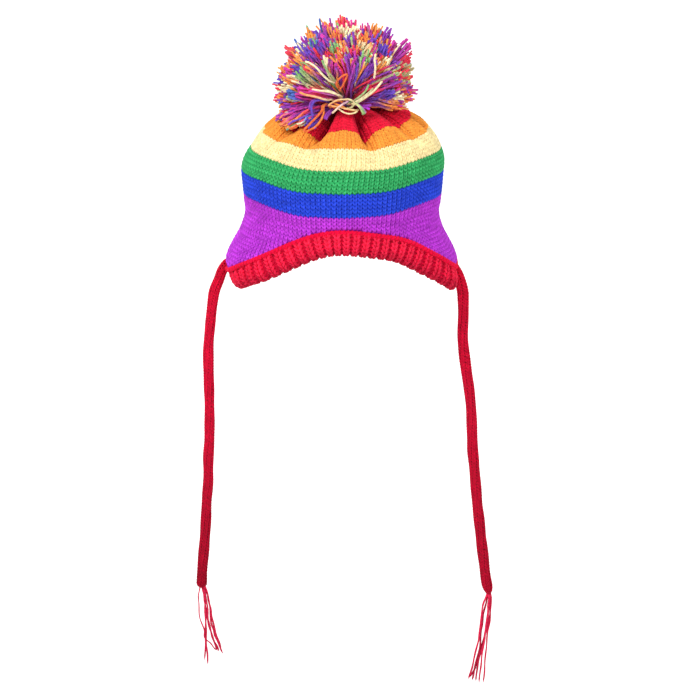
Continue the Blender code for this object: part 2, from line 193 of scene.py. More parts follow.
# Section of the band in millimetres: outward and down from the crown's edge, from the inside of
# its top, round its lower edge to the outside of its top.
BAND_SECTION_MM = (
    (-2.2, 1.2),
    (-3.9, 3.2),
    (-4.2, 7.0),
    (-4.1, 11.5),
    (-3.4, 15.2),
    (-1.9, 17.6),
    (0.2, 18.5),
    (2.3, 17.6),
    (3.8, 15.2),
    (4.5, 11.8),
    (4.6, 8.2),
    (4.2, 4.6),
    (3.5, 2.4),
    (1.6, 1.1),
)
BAND_YARN_RADIUS = 0.00104
BAND_SINK = 0.0011
RIDGE_YARN_RADIUS = 0.00118
RIDGE_TWIST_RADIUS = 0.00070
RIDGE_PITCH = 0.0058
RIDGE_OUT = 0.0022
RIDGE_DOWN = 0.0016
BAND_COLUMNS = 1200
BAND_STEPS = 130
CORE_COLUMNS = 300
CORE_ROWS = 30
CORE_GROOVE = 0.00035
# How strongly the ribs' relief is painted into their colour, as shade in the sunk yarn and light on the
# raised yarn, the painted highlight added to the raised yarn, and the painted shade from the hidden
# inner side and the underside, over these shares of the section, to the outer side.
BAND_PAINTED_RELIEF = 0.28
BAND_PAINTED_HIGHLIGHT = 0.020
BAND_PAINTED_SHADE_PLACES = (0.50, 0.62, 0.74)
BAND_PAINTED_SHADES = (0.58, 0.72, 1.0)

# Free routes of the tie cords' centrelines, from the ear point down.
CORD_LEFT = (
    (-0.0800, 0.002, -0.0192),
    (-0.0830, 0.002, -0.0214),
    (-0.0860, 0.001, -0.0255),
    (-0.0883, 0.000, -0.0318),
    (-0.0914, -0.001, -0.0395),
    (-0.0927, -0.001, -0.0468),
    (-0.0938, -0.001, -0.0557),
    (-0.0951, 0.000, -0.0690),
    (-0.0962, 0.001, -0.0838),
    (-0.0961, 0.001, -0.1023),
    (-0.0956, 0.000, -0.1247),
    (-0.0958, -0.001, -0.1493),
    (-0.0967, -0.001, -0.1642),
    (-0.0968, 0.000, -0.1807),
    (-0.0980, 0.000, -0.1957),
    (-0.0988, 0.001, -0.2122),
    (-0.1000, 0.001, -0.2296),
    (-0.1015, 0.000, -0.2469),
    (-0.1022, 0.000, -0.2613),
)
CORD_RIGHT = (
    (0.0768, 0.004, -0.0190),
    (0.0794, 0.003, -0.0228),
    (0.0830, 0.001, -0.0282),
    (0.0854, 0.000, -0.0345),
    (0.0868, 0.000, -0.0408),
    (0.0871, 0.000, -0.0468),
    (0.0873, 0.001, -0.0579),
    (0.0869, 0.001, -0.0727),
    (0.0877, 0.001, -0.0838),
    (0.0896, 0.000, -0.0986),
    (0.0916, -0.001, -0.1120),
    (0.0932, -0.001, -0.1269),
    (0.0940, 0.000, -0.1448),
    (0.0945, 0.001, -0.1582),
    (0.0956, 0.001, -0.1695),
    (0.0969, 0.000, -0.1844),
    (0.0982, -0.001, -0.1995),
    (0.0995, -0.001, -0.2107),
    (0.1011, 0.000, -0.2258),
    (0.1030, 0.000, -0.2409),
    (0.1046, 0.000, -0.2548),
    (0.1071, 0.000, -0.2664),
)
CORD_WALES = 6
CORD_COURSE = 0.00210
CORD_YARN_RADIUS = 0.00082
CORD_CORE = 0.80
CORD_STEPS = 520
# How flat the cord's stitches are, how far they turn on the way down, in radians, and how far
# their middle lies inside the cord's outside.
CORD_RELIEF = 0.55
CORD_TWIST = 5.0
CORD_INSET = 0.0010

# Loose yarns of each fringe: radius and the points that the yarn passes, in millimetres.
Loose = namedtuple("Loose", "radius points")
FRINGE_LEFT = (
    Loose(0.52, (
        (-103, 0, -260.5), (-104.1, -1, -264.8), (-104.4, -1.5, -270.7), (-103.8, -2, -281.9),
        (-100.8, -2, -292.5), (-99.9, -2, -299), (-95.5, -1.5, -304.1), (-91.9, -1, -308.8))),
    Loose(0.74, (
        (-100.6, 0, -260.5), (-100, 0, -268.1), (-99.7, 0.5, -278.9), (-99.6, 1, -298),
        (-100.1, 1, -317.4))),
    Loose(0.74, (
        (-101.1, 0, -260.5), (-99.7, -1, -270.8), (-99.1, -1, -287.5), (-99, -0.5, -302.9),
        (-97.7, 0, -320.5))),
    Loose(0.78, (
        (-99.7, 0, -260.5), (-96.9, 1, -271.4), (-95.3, 1.5, -288.6), (-91.9, 1, -299.9),
        (-86.9, 0, -311.8))),
    Loose(0.78, (
        (-100.4, 0, -260.5), (-97.6, 2, -269.4), (-95.2, 2.5, -282.5), (-92.7, 2, -294.5),
        (-88, 1.5, -309.5))),
    Loose(0.70, (
        (-101.1, 0, -260.5), (-98.6, -2, -270.5), (-97.2, -2.5, -285.6), (-94.4, -2, -299),
        (-90.8, -1.5, -309.4))),
    Loose(0.70, (
        (-101.9, 0, -260.5), (-100.1, 2, -271.7), (-97.3, 3, -290.2), (-93.5, 3, -302.4),
        (-89.5, 3, -311.1))),
)
FRINGE_RIGHT = (
    Loose(0.76, (
        (106.6, 0, -264.3), (104.4, -1, -269.3), (101.9, -1.5, -278.3), (100.5, -2, -293.3),
        (98.6, -2, -304.7), (95.2, -2, -319.9), (92.5, -2, -330.6))),
    Loose(0.76, (
        (106.7, 0, -264.3), (105.4, 0, -270.4), (103.4, 0.5, -280.4), (101.7, 0.5, -292.5),
        (100.6, 0, -305.3), (97.1, 0, -322), (94.9, 0, -332))),
    Loose(0.74, (
        (107.7, 0, -264.3), (108.3, 1, -271.4), (108, 1.5, -280.7), (105.9, 1, -292.7),
        (101.7, 1, -305.6), (97.8, 1.5, -321), (93.7, 2, -330.3))),
    Loose(0.76, (
        (107.3, 0, -264.3), (107.1, -1, -272.3), (106.3, -1, -283), (104.3, -1, -295.9),
        (102.1, -0.5, -307.4), (98.9, -0.5, -320.4), (97.9, 0, -332.7))),
    Loose(0.66, (
        (107.9, 0, -264.3), (108.6, 2, -271.7), (107.9, 2.5, -285.5), (105.8, 3, -300.9),
        (104.6, 3, -317.6), (103.2, 3, -335.2))),
    Loose(0.70, (
        (106.9, 0, -264.3), (106.5, -2, -272.8), (105.5, -2.5, -284), (103.5, -3, -302.1),
        (101.6, -3, -315.8), (100.1, -3, -333.3))),
)

# How long each cord's rounded tip is, and its girth and its painted shade at even steps from top to
# tip:
# painted light at the top where it meets the band, painted shade down to the tip.
Tie = namedtuple("Tie", "side route fringe tip girth shades")
TIES = (
    Tie("left", CORD_LEFT, FRINGE_LEFT, 0.003, (1.04, 1.0, 1.04), (1.15, 1.15, 1.05, 0.80, 0.58)),
    Tie("right", CORD_RIGHT, FRINGE_RIGHT, 0.008, (1.14, 1.08, 1.05, 1.08, 1.05),
        (1.22, 1.05, 0.95, 0.82, 0.70)),
)

# Pompom: an even ball of locks that fan out of its heart.
POMPOM_RADIUS = 0.0502
POMPOM_MIDDLE = (0.0016, 0.0, 0.1104)
POMPOM_HEART = (0.0045, -0.0160, 0.1005)
POMPOM_SKIRT_DEG = 98
POMPOM_TILT_DEG = 10
POMPOM_SEED = 11
# Its parting at the front: the direction, how wide it opens upwards and to the sides, and how
# far round the locks give way to it.
PARTING = (0.02, -1.0, -0.10)
PARTING_UP_DEG = 62
PARTING_SIDE_DEG = 80
PARTING_REACH_DEG = 92
# The locks: how they scatter, bow out and droop, and what share of the way out they reach.
LOCK_COUNT = 180
LOCK_RADIUS = 0.0030
LOCK_SCATTER = 0.05
LOCK_BOW = 0.0045
LOCK_DROOP = 0.0040
LOCK_REACH = (0.84, 1.0)
MIDDLE_SCATTER = 0.0016
# The yarns of a lock: how many, how they spread and wave, how they are dyed, and how much darker
# their roots are painted as the shade deep inside the ball.
LOCK_YARNS = 18
FRONT_YARNS = 24
POMPOM_YARN_RADIUS = 0.00080
ROOT_SCATTER = 0.0014
YARN_SPREAD = 0.019
YARN_WAVES = (0.0004, 0.0014)
YARN_TIP = 0.0003
SHORT_SHARE = 0.06
ODD_DYE_SHARE = 0.12
ROOT_PAINTED_SHADE = 0.36
CROWN_CLEARANCE = 0.0012

# The knot inside the crown: the tilt of each winding, in radians, and its radius.
KNOT_WINDINGS = ((0.2, 0.0052), (1.1, 0.0046), (2.3, 0.0049), (3.0, 0.0042))
KNOT_DROP = 0.0065
KNOT_YARN_RADIUS = 0.0009
STEM_RADIUS = 0.0014
STEM_YARN_RADIUS = 0.0010
STEM_HEIGHTS = (-0.001, 0.005, 0.011, 0.017)

# Yarn colours, linear RGB.
BAND_RED = (0.88, 0.003, 0.046)
CORD_RED = (0.66, 0.005, 0.036)
FRINGE_RED = (0.70, 0.020, 0.075)
DEEP_ORANGE = (0.90, 0.33, 0.046)
PALE_YELLOW = (0.95, 0.78, 0.40)

# Colours of the pompom's yarn.
CREAM = (1.0, 0.86, 0.54)
ORANGE = (1.0, 0.32, 0.07)
RED = (0.88, 0.045, 0.09)
MAGENTA = (0.62, 0.050, 0.36)
PURPLE = (0.30, 0.055, 0.44)
VIOLET = (0.15, 0.070, 0.50)
BLUE = (0.10, 0.19, 0.58)
GREEN = (0.27, 0.54, 0.20)
GREY = (0.50, 0.48, 0.25)
MAUVE = (0.52, 0.20, 0.48)
RUST = (0.86, 0.17, 0.05)
LIGHT_PURPLE = (0.50, 0.040, 0.66)

# Stripes from the edge up: the colour, how strongly the ply grooves show as painted shade, how strongly
# the stitches' relief is painted in as shade where the yarn sinks and as light where it stands out, the
# painted highlight added to the raised yarn, and the darkest and the lightest factor of the painted
# shade on the cloth seen between the stitches.
Stripe = namedtuple("Stripe", "name colour plies relief pale dark light")
STRIPES = (
    Stripe("purple", (0.42, 0.019, 0.55), 0.22, 0.34, 0.034, 0.50, 0.75),
    Stripe("blue", (0.005, 0.040, 0.53), 0.22, 0.42, 0.028, 0.50, 0.75),
    Stripe("green", (0.008, 0.30, 0.078), 0.22, 0.50, 0.048, 0.40, 0.65),
    Stripe("yellow", PALE_YELLOW, 0.08, 0.03, 0.0, 0.94, 1.00),
    Stripe("orange", DEEP_ORANGE, 0.14, 0.08, 0.005, 0.84, 0.98),
    Stripe("red", (0.71, 0.004, 0.034), 0.20, 0.30, 0.012, 0.60, 0.80),
)
BAND_SHEEN = (1.0, 0.30, 0.40)
YARN_PLIES = 2.0

# Camera: metres, with the width of what it sees at its target.
VIEW_DISTANCE = 4.0
VIEW_ELEVATION_DEG = 13.7
VIEW_TARGET = (0.0058, 0.0, -0.0838)
VIEW_WIDTH = 0.504
SENSOR_MM = 36.0

# Square lamps: size, power, place and what they look at.
Lamp = namedtuple("Lamp", "name size power place target")
LAMPS = (
    Lamp("key", 1.1, 52.5, (-1.3, -1.6, 2.2), (0.0, 0.0, 0.02)),
    Lamp("fill", 1.6, 20.0, (1.3, -2.1, 1.2), (0.0, 0.0, 0.02)),
    Lamp("ground", 5.0, 85.0, (0.0, 2.7, 1.5), (0.0, 2.7, -1.0)),
)
WORLD_LIGHT = 0.64
FLOOR_HALF = 30.0
FLOOR_HEIGHT = -0.46


def place_in_scene(name, data, place, towards):
    """A new lamp or camera at a place, looking along a direction."""
    thing = bpy.data.objects.new(name, data)
    bpy.context.scene.collection.objects.link(thing)
    thing.location = place
    thing.rotation_euler = towards.to_track_quat("-Z", "Y").to_euler()
    return thing


def build_camera():
    """The photograph's view: from the front, a little above, framed on the whole hat."""
    elevation = math.radians(VIEW_ELEVATION_DEG)
    offset = Vector((0.0, -math.cos(elevation), math.sin(elevation))) * VIEW_DISTANCE
    data = bpy.data.cameras.new("camera")
    data.sensor_width = SENSOR_MM
    data.lens = SENSOR_MM * VIEW_DISTANCE / VIEW_WIDTH
    data.clip_end = 100.0
    camera = place_in_scene("camera", data, Vector(VIEW_TARGET) + offset, -offset)
    bpy.context.scene.camera = camera


def dress(pieces, node):
    """The pieces ride on the hat's one body and stand for that node, whose solid is hidden."""
    for piece in pieces:
        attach(piece, "root")
        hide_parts(node)


# Small maths.


def smooth_line(points, steps):
    """Catmull-Rom curve through points (n, 3), with that many steps in each span."""
    knots = np.asarray(points, float)
    knots = np.vstack([2 * knots[0] - knots[1], knots, 2 * knots[-1] - knots[-2]])
    line = []
    for i in range(1, len(knots) - 2):
        a, b, c, d = knots[i - 1 : i + 3]
        t = np.arange(steps)[:, None] / steps
        bend = (2 * a - 5 * b + 4 * c - d) * t**2 + (3 * b - a - 3 * c + d) * t**3
        line.append((2 * b + (c - a) * t + bend) / 2)
    line.append(knots[-2][None])
    return np.vstack(line)


def along(line):
    """Distance along a line at each of its points."""
    steps = np.linalg.norm(np.diff(line, axis=0), axis=1)
    return np.concatenate([[0.0], np.cumsum(steps)])


def evened(line, s, count):
    """A line's rows at that many even steps of s, the distance along it."""
    even = np.linspace(0, s[-1], count)
    return np.stack([np.interp(even, s, column) for column in line.T], 1)


def reader(low, high, part):
    """A function that reads values between their rows low and high."""
    return lambda values: values[low] * (1 - part) + values[high] * part


def unit(v):
    """Vectors made one long."""
    return v / np.maximum(np.linalg.norm(v, axis=-1, keepdims=True), 1e-12)


def ease(x):
    """A soft step from 0 to 1."""
    return x * x * (3 - 2 * x)


def ear_radius(height):
    """Outer radius of the knit below the ring where the ear points start."""
    height = np.asarray(height, float)
    drop = (SEAM_FRONT - height) / EAR_DROP
    flare = np.interp(drop, [r.drop for r in EAR_TABLE], [r.flare for r in EAR_TABLE])
    rise = np.clip((height - SEAM_FRONT) / (EAR_START - SEAM_FRONT), 0, 1)
    return NECK_RADIUS + EAR_FLARE * flare + (RING_RADIUS - NECK_RADIUS) * ease(rise)


def seam_height(angle):
    """Height of the crown's edge."""
    side = np.sin(angle)
    power = np.where(side > 0, EAR_POWER_RIGHT, EAR_POWER_LEFT)
    sag = SETTLE_SAG * np.sin(np.pi * np.clip(side / SETTLE_SPAN, 0, 1) ** 1.1) ** 2
    near = np.clip((side - LIFT_START) / 0.2, 0, 1) * np.clip((1.0 - side) / 0.1, 0.3, 1)
    tip = np.clip((-side - LEFT_TIP_START) / (1 - LEFT_TIP_START), 0, 1) ** 2
    drop = EAR_DROP * np.abs(side) ** power + sag + LEFT_TIP_SAG * tip
    return SEAM_FRONT - drop + SETTLE_LIFT * near


def lean(height):
    """Sideways shift of the crown's upper part."""
    return CROWN_LEAN * ease(np.clip((height - LEAN_START) / (LEAN_END - LEAN_START), 0, 1))


class Surface:
    """A closed ring of cloth as a grid of points and outward normals.

    Across runs once round, from 0 to 1, and up runs from the first row to the last, in metres.
    """

    def __init__(self, points, length):
        self.points = points
        self.length = length
        around = np.roll(points, -1, 0) - np.roll(points, 1, 0)
        up = np.gradient(points, axis=1)
        self.normals = unit(np.cross(around, up))

    def at(self, across, up, out):
        """Points at a distance out from the cloth, and the normals there."""
        columns, rows = self.points.shape[:2]
        u = (across % 1.0) * columns
        v = np.clip(up / self.length, 0, 1) * (rows - 1)
        i = np.floor(u).astype(int) % columns
        j = np.minimum(np.floor(v).astype(int), rows - 2)
        fu = (u - np.floor(u))[..., None]
        fv = (v - j)[..., None]
        k = (i + 1) % columns
        found = []
        for grid in (self.points, self.normals):
            low = grid[i, j] * (1 - fu) + grid[k, j] * fu
            high = grid[i, j + 1] * (1 - fu) + grid[k, j + 1] * fu
            found.append(low * (1 - fv) + high * fv)
        normal = unit(found[1])
        return found[0] + normal * np.asarray(out)[..., None], normal


# Meshes from arrays.


def make_mesh(name, verts, quads, uv=None, tint=None, slots=None):
    """An object of smooth quads, with its maps, a tint for each vertex and material slots."""
    mesh = bpy.data.meshes.new(name)
    mesh.vertices.add(len(verts))
    mesh.vertices.foreach_set("co", np.ascontiguousarray(verts, np.float32).ravel())
    mesh.loops.add(quads.size)
    mesh.loops.foreach_set("vertex_index", np.ascontiguousarray(quads, np.int32).ravel())
    mesh.polygons.add(len(quads))
    mesh.polygons.foreach_set("loop_start", np.arange(0, quads.size, 4, dtype=np.int32))
    mesh.polygons.foreach_set("use_smooth", np.ones(len(quads), bool))
    if slots is not None:
        mesh.polygons.foreach_set("material_index", np.asarray(slots, np.int32))
    mesh.update(calc_edges=True)
    if uv is not None:
        for layer_name, values in uv.items():
            layer = mesh.uv_layers.new(name=layer_name)
            layer.uv.foreach_set("vector", np.ascontiguousarray(values, np.float32).ravel())
    if tint is not None:
        layer = mesh.color_attributes.new(name="tint", type="FLOAT_COLOR", domain="POINT")
        rgba = np.ones((len(verts), 4), np.float32)
        rgba[:, :3] = tint
        layer.data.foreach_set("color", rgba.ravel())
    thing = bpy.data.objects.new(name, mesh)
    bpy.context.scene.collection.objects.link(thing)
    return thing


def tube_quads(columns, line, spans):
    """Faces of a grid with line points in each column, closed across."""
    column = np.arange(columns)[:, None]
    here, there = column * line, (column + 1) % columns * line
    j = np.arange(spans)[None]
    above = (j + 1) % line
    return np.stack([here + j, there + j, there + above, here + above], -1).reshape(-1, 4)


def corners(left, right, low, high):
    """Map places of the corners of faces, in the order of each face's own corners."""
    places = ((left, low), (right, low), (right, high), (left, high))
    return np.stack([np.stack(place, -1) for place in places], -2)


class Yarns:
    """Collects round yarns and makes one mesh of them."""

    def __init__(self, sides):
        self.sides = sides
        self.verts, self.quads, self.lengths, self.tints = [], [], [], []
        self.count = 0

    def add(self, path, facing, radius, tint, closed=False):
        """One yarn: its path, and where its first side faces, its radius and tint along it."""
        path = np.asarray(path, float)
        m = len(path)
        around = np.roll(path, -1, 0) - np.roll(path, 1, 0)
        ahead = unit(around if closed else np.gradient(path, axis=0))
        out = unit(facing - ahead * np.sum(facing * ahead, -1, keepdims=True))
        side = np.cross(ahead, out)
        turn = TAU * np.arange(self.sides)[:, None] / self.sides
        ring = out[:, None] * np.cos(turn) + side[:, None] * np.sin(turn)
        verts = path[:, None] + ring * np.broadcast_to(radius, m)[:, None, None]
        spans = m if closed else m - 1
        length = along(np.vstack([path, path[:1]]))
        shape = (spans, self.sides)
        start = np.broadcast_to(length[:spans, None], shape)
        end = np.broadcast_to(length[1 : spans + 1, None], shape)
        low = np.broadcast_to(np.arange(self.sides) / self.sides, shape)
        uv = corners(start, end, low, low + 1.0 / self.sides)
        self.verts.append(verts.reshape(-1, 3))
        quads = tube_quads(m, self.sides, self.sides)[: spans * self.sides]
        self.quads.append(self.count + quads)
        self.lengths.append(uv.reshape(-1, 2))
        self.tints.append(np.repeat(np.broadcast_to(tint, (m, 3)), self.sides, 0))
        self.count += m * self.sides

    def bake_map(self, quads):
        """A flat layout of all faces, one strip of faces under another."""
        total = math.ceil(quads / self.sides)
        per_row = max(1, math.ceil(math.sqrt(total * self.sides)))
        rows = math.ceil(total / per_row)
        k = np.arange(quads)
        span, side = k // self.sides, k % self.sides
        x = (span % per_row) / per_row
        y = (span // per_row + side / self.sides) / rows
        return corners(x, x + 1.0 / per_row, y, y + 1.0 / self.sides / rows).reshape(-1, 2)

    def build(self, name, material):
        """One object of all the yarns."""
        quads = np.vstack(self.quads)
        uv = {"yarn": np.vstack(self.lengths), "OFBake": self.bake_map(len(quads))}
        thing = make_mesh(name, np.vstack(self.verts), quads, uv, np.vstack(self.tints))
        thing.data.materials.append(material)
        return thing


# Materials.


class Nodes:
    """Short names for making and joining a material's nodes."""

    def __init__(self, name):
        self.material = bpy.data.materials.new(name)
        self.material.use_nodes = True
        self.tree = self.material.node_tree
        self.shader = self.tree.nodes["Principled BSDF"]

    def node(self, kind, **settings):
        made = self.tree.nodes.new(kind)
        for key, value in settings.items():
            setattr(made, key, value)
        return made

    def join(self, source, target):
        self.tree.links.new(source, target)

    def maths(self, operation, a, b=None):
        made = self.node("ShaderNodeMath", operation=operation)
        for socket, value in zip(made.inputs, (a, b)):
            if value is None:
                continue
            if hasattr(value, "is_output"):
                self.join(value, socket)
            else:
                socket.default_value = value
        return made.outputs[0]

    def noise(self, scale, detail, roughness):
        made = self.node("ShaderNodeTexNoise")
        for key, number in zip(("Scale", "Detail", "Roughness"), (scale, detail, roughness)):
            made.inputs[key].default_value = number
        self.join(self.node("ShaderNodeTexCoord").outputs["Object"], made.inputs["Vector"])
        return made.outputs[0]

    def remap(self, value, low, high, to_low, to_high):
        made = self.node("ShaderNodeMapRange")
        self.join(value, made.inputs["Value"])
        for key, number in zip(
            ("From Min", "From Max", "To Min", "To Max"), (low, high, to_low, to_high)
        ):
            made.inputs[key].default_value = number
        return made.outputs[0]

    def scaled(self, colour, factor):
        """A colour, or a colour output, times a number output."""
        made = self.node("ShaderNodeVectorMath", operation="SCALE")
        if hasattr(colour, "is_output"):
            self.join(colour, made.inputs[0])
        else:
            made.inputs[0].default_value = colour
        self.join(factor, made.inputs["Scale"])
        return made.outputs[0]


def finish_cloth(nodes, colour, height, bump, depth, sheen, tint):
    """Soft matt fibre in a colour output: a bump, no metal, little gloss and a fuzzy sheen."""
    inputs = nodes.shader.inputs
    nodes.join(colour, inputs["Base Color"])
    relief = nodes.node("ShaderNodeBump")
    relief.inputs["Strength"].default_value = bump
    relief.inputs["Distance"].default_value = depth
    nodes.join(height, relief.inputs["Height"])
    nodes.join(relief.outputs[0], inputs["Normal"])
    inputs["Roughness"].default_value = 0.92
    inputs["Metallic"].default_value = 0.0
    inputs["Specular IOR Level"].default_value = 0.08
    inputs["Sheen Weight"].default_value = sheen
    inputs["Sheen Roughness"].default_value = 0.45
    inputs["Sheen Tint"].default_value = (*tint, 1.0)
    return nodes.material


def yarn_material(name, sheen_tint=(1.0, 0.9, 0.95), pitch=0.0045, sheen=0.10, groove_shade=0.22):
    """Twisted yarn: helical ply grooves as bump and as painted shade, stray fibres and soft uneven
    dyeing.
    """
    nodes = Nodes(name)
    split = nodes.node("ShaderNodeSeparateXYZ")
    nodes.join(nodes.node("ShaderNodeUVMap", uv_map="yarn").outputs[0], split.inputs[0])
    turns = nodes.maths("MULTIPLY", split.outputs[0], 1.0 / pitch)
    around = nodes.maths("MULTIPLY", split.outputs[1], YARN_PLIES)
    phase = nodes.maths("MULTIPLY", nodes.maths("ADD", turns, around), TAU)
    ply = nodes.maths("SINE", phase)
    fibre = nodes.noise(2600.0, 4.0, 0.7)
    patch = nodes.noise(90.0, 2.0, 0.5)
    # Painted shade: the tint darker in the ply grooves and a touch lighter on their crests.
    groove = nodes.remap(ply, -1.0, 1.0, 1.0 - groove_shade, 1.05)
    fleck = nodes.remap(fibre, 0.3, 0.7, 0.88, 1.10)
    dye = nodes.remap(patch, 0.3, 0.7, 0.94, 1.05)
    factor = nodes.maths("MULTIPLY", nodes.maths("MULTIPLY", groove, fleck), dye)
    tint = nodes.node("ShaderNodeVertexColor", layer_name="tint").outputs[0]
    height = nodes.maths("ADD", ply, nodes.maths("MULTIPLY", fibre, 0.9))
    return finish_cloth(nodes, nodes.scaled(tint, factor), height, 0.55, 0.00035, sheen, sheen_tint)


def shaded_backing_material(name, colour, dark, light):
    """Painted shade for the knit seen between its stitches: the colour made darker, with fine loops as
    bump.
    """
    nodes = Nodes(name)
    fibre = nodes.noise(1500.0, 3.0, 0.6)
    shade = nodes.scaled(colour, nodes.remap(fibre, 0.3, 0.7, dark, light))
    tint = tuple(0.1 + 0.9 * c for c in colour)
    return finish_cloth(nodes, shade, fibre, 0.6, 0.0004, 0.1, tint)


# Crown.


def fold_pull(angle, share):
    """How far the gathers pull the knit in, in metres; the lobes between them puff out."""
    pull = np.zeros(np.broadcast(angle, share).shape)
    nearest = np.zeros_like(pull)
    for fold in FOLDS:
        off = np.degrees(angle) - fold.angle - fold.swing * (share - 0.3)
        off = (off + 180) % 360 - 180
        dip = np.exp(-np.abs(off / fold.width) ** 1.6)
        pull += fold.depth * dip
        nearest = np.maximum(nearest, dip)
    return FOLD_DEPTH * pull - LOBE_PUFF * (1 - nearest)


def crown_profile():
    """Radius, height and fold share of the crown's section, evenly spaced from the tip up."""
    low = SEAM_FRONT - EAR_DROP - 0.002
    heights = np.linspace(low, EAR_START, 50)[:-1]
    lower = np.stack([ear_radius(heights), heights, 0 * heights], 1)
    rows = [(RING_RADIUS, EAR_START, 0.0)]
    rows += [(r.radius * CROWN_RADIUS, r.height * CROWN_TOP, r.fold) for r in CROWN_ROWS]
    line = np.vstack([lower, smooth_line(rows, 12)])
    s = along(line[:, :2])
    return evened(line, s, CROWN_STEPS), s[-1]


def build_crown_surface():
    """The crown's outer face with its gathers and soft unevenness."""
    profile, length = crown_profile()
    slope = unit(np.gradient(profile[:, :2], axis=0))
    out, up = slope[:, 1], -slope[:, 0]
    angle = TAU * np.arange(CROWN_COLUMNS)[:, None] / CROWN_COLUMNS
    share = profile[None, :, 2]
    s = np.linspace(0, length, len(profile))[None, :]
    fine, broad, gathered = RIPPLES
    pull = share * fold_pull(angle, share)
    pull = pull + fine * np.sin(7 * angle + 45 * s) * np.cos(60 * s - 3 * angle + 1)
    pull = pull + broad * np.sin(3 * angle + 70 * s + 2) + gathered * share * np.sin(29 * angle)
    radius = profile[None, :, 0] - out[None] * pull
    level = profile[None, :, 1] - up[None] * pull
    x = lean(level) + radius * np.sin(angle)
    y = -radius * np.cos(angle)
    return Surface(np.stack([x, y, level], -1), length), profile


def mirrored(stitch):
    """A whole stitch from its left half."""
    half = np.array(stitch)
    other = half[1:-1][::-1] * (-1, 1, 1) + (1, 0, 0)
    return np.vstack([half, other])


def course(surface, up, wales, stitch, height, sink, width, start=None):
    """Path of one course's yarn over some wales in a row, and the cloth's normals there."""
    x = (np.asarray(wales)[:, None] + stitch[None, :, 0]).ravel() * width
    y = up + np.tile(stitch[:, 1], len(wales)) * height
    h = np.tile(stitch[:, 2], len(wales)) * MM - sink
    if start is not None:
        y = shifted(y, x, start)
    return surface.at(x, y, h)


def shifted(up, across, start):
    """Distance up the cloth of a course that would lie at that height if it ran level."""
    table = np.array(COURSE_SHIFTS)
    from_start = np.asarray(up) - start
    side, level, right = (np.interp(from_start, table[:, 0], table[:, k]) for k in (1, 2, 3))
    sine = np.sin(TAU * across)
    aside = np.clip((np.abs(sine) - 0.35) / 0.55, 0, 1)
    return up + level + (side + right * (sine > 0)) * ease(aside)


def painted_relief_light(colour, stitch, wales, relief, pale):
    """Colours along a course with painted light: a painted highlight where the stitch stands out,
    painted shade where it sinks.
    """
    height = stitch[:, 2]
    share = 2 * (height - height.min()) / (height.max() - height.min()) - 1
    tint = np.array(colour) * (1 + relief * share)[:, None]
    tint = tint + pale * np.maximum(share, 0)[:, None]
    return np.tile(np.minimum(tint, 1.0), (wales, 1))


def runs_of(kept):
    """Unbroken runs of kept wales, joined over the seam, and whether each goes all round."""
    count = len(kept)
    if kept.all():
        return [(range(count), True)]
    gap = int(np.argmin(kept))
    runs, run = [], []
    for k in range(gap, gap + count):
        if kept[k % count]:
            run.append(k)
        elif run:
            runs.append((run, False))
            run = []
    if run:
        runs.append((run, False))
    return runs


def build_crown(surface, profile):
    """Six stripes of stitches over a thin backing painted darker as the shade between them."""
    stitch = mirrored(KNIT_STITCH)
    chance = np.random.default_rng(5)
    even = np.linspace(0, surface.length, len(profile))
    start = float(np.interp(STRIPE_START_Z, profile[:, 1], even))
    wale_angle = TAU * (np.arange(WALES) + 0.5) / WALES
    stripes = [Yarns(5) for _ in STRIPES]
    c = -math.ceil((start + 0.005) / COURSE)
    while True:
        up = start + (c + 0.5) * COURSE
        radius = float(np.interp(up, even, profile[:, 0]))
        closed_up = up > surface.length / 2 and radius < TOP_STITCH_RADIUS
        if up > surface.length - EDGE_GAP or closed_up:
            break
        near = np.arange(c - 1, c + 2) // STRIPE_COURSES + 1
        below, here, above = np.clip(near, 0, len(STRIPES) - 1)
        stripe = STRIPES[here]
        place = shifted(up, wale_angle / TAU, start)
        level = np.interp(place, even, profile[:, 1])
        kept = (level > seam_height(wale_angle) + 0.0002) & (place > EDGE_GAP)
        if kept.any():
            shape = stitch.copy()
            if below != here:
                shape[:, 1] = np.maximum(shape[:, 1], STRIPE_FOOT)
            elif above != here:
                shape[[3, 5], 1] = STRIPE_HEAD
            thick = YARN_RADIUS * (0.72 + 0.28 * min(1.0, radius / CROWN_RADIUS))
            for wales, closed in runs_of(kept):
                path, normal = course(
                    surface, up, wales, shape, COURSE, STITCH_SINK, 1 / WALES, start
                )
                wobble = np.repeat(chance.uniform(0.93, 1.07, len(wales)), len(stitch))
                shade = np.repeat(chance.uniform(0.90, 1.08, len(wales)), len(stitch))
                # Painted shade where the stitch sinks and a painted highlight where it stands out.
                tint = painted_relief_light(stripe.colour, stitch, len(wales), stripe.relief, stripe.pale)
                stripes[here].add(path, normal, thick * wobble, tint * shade[:, None], closed)
        c += 1
    pieces = []
    for stripe, yarns in zip(STRIPES, stripes):
        sheen = tuple(0.25 + 0.75 * c**0.6 for c in stripe.colour)
        material = yarn_material("yarn_" + stripe.name, sheen_tint=sheen, groove_shade=stripe.plies)
        pieces.append(yarns.build("stripe_" + stripe.name, material))
    pieces.append(build_backing(surface, profile, start))
    dress(pieces, "crown")


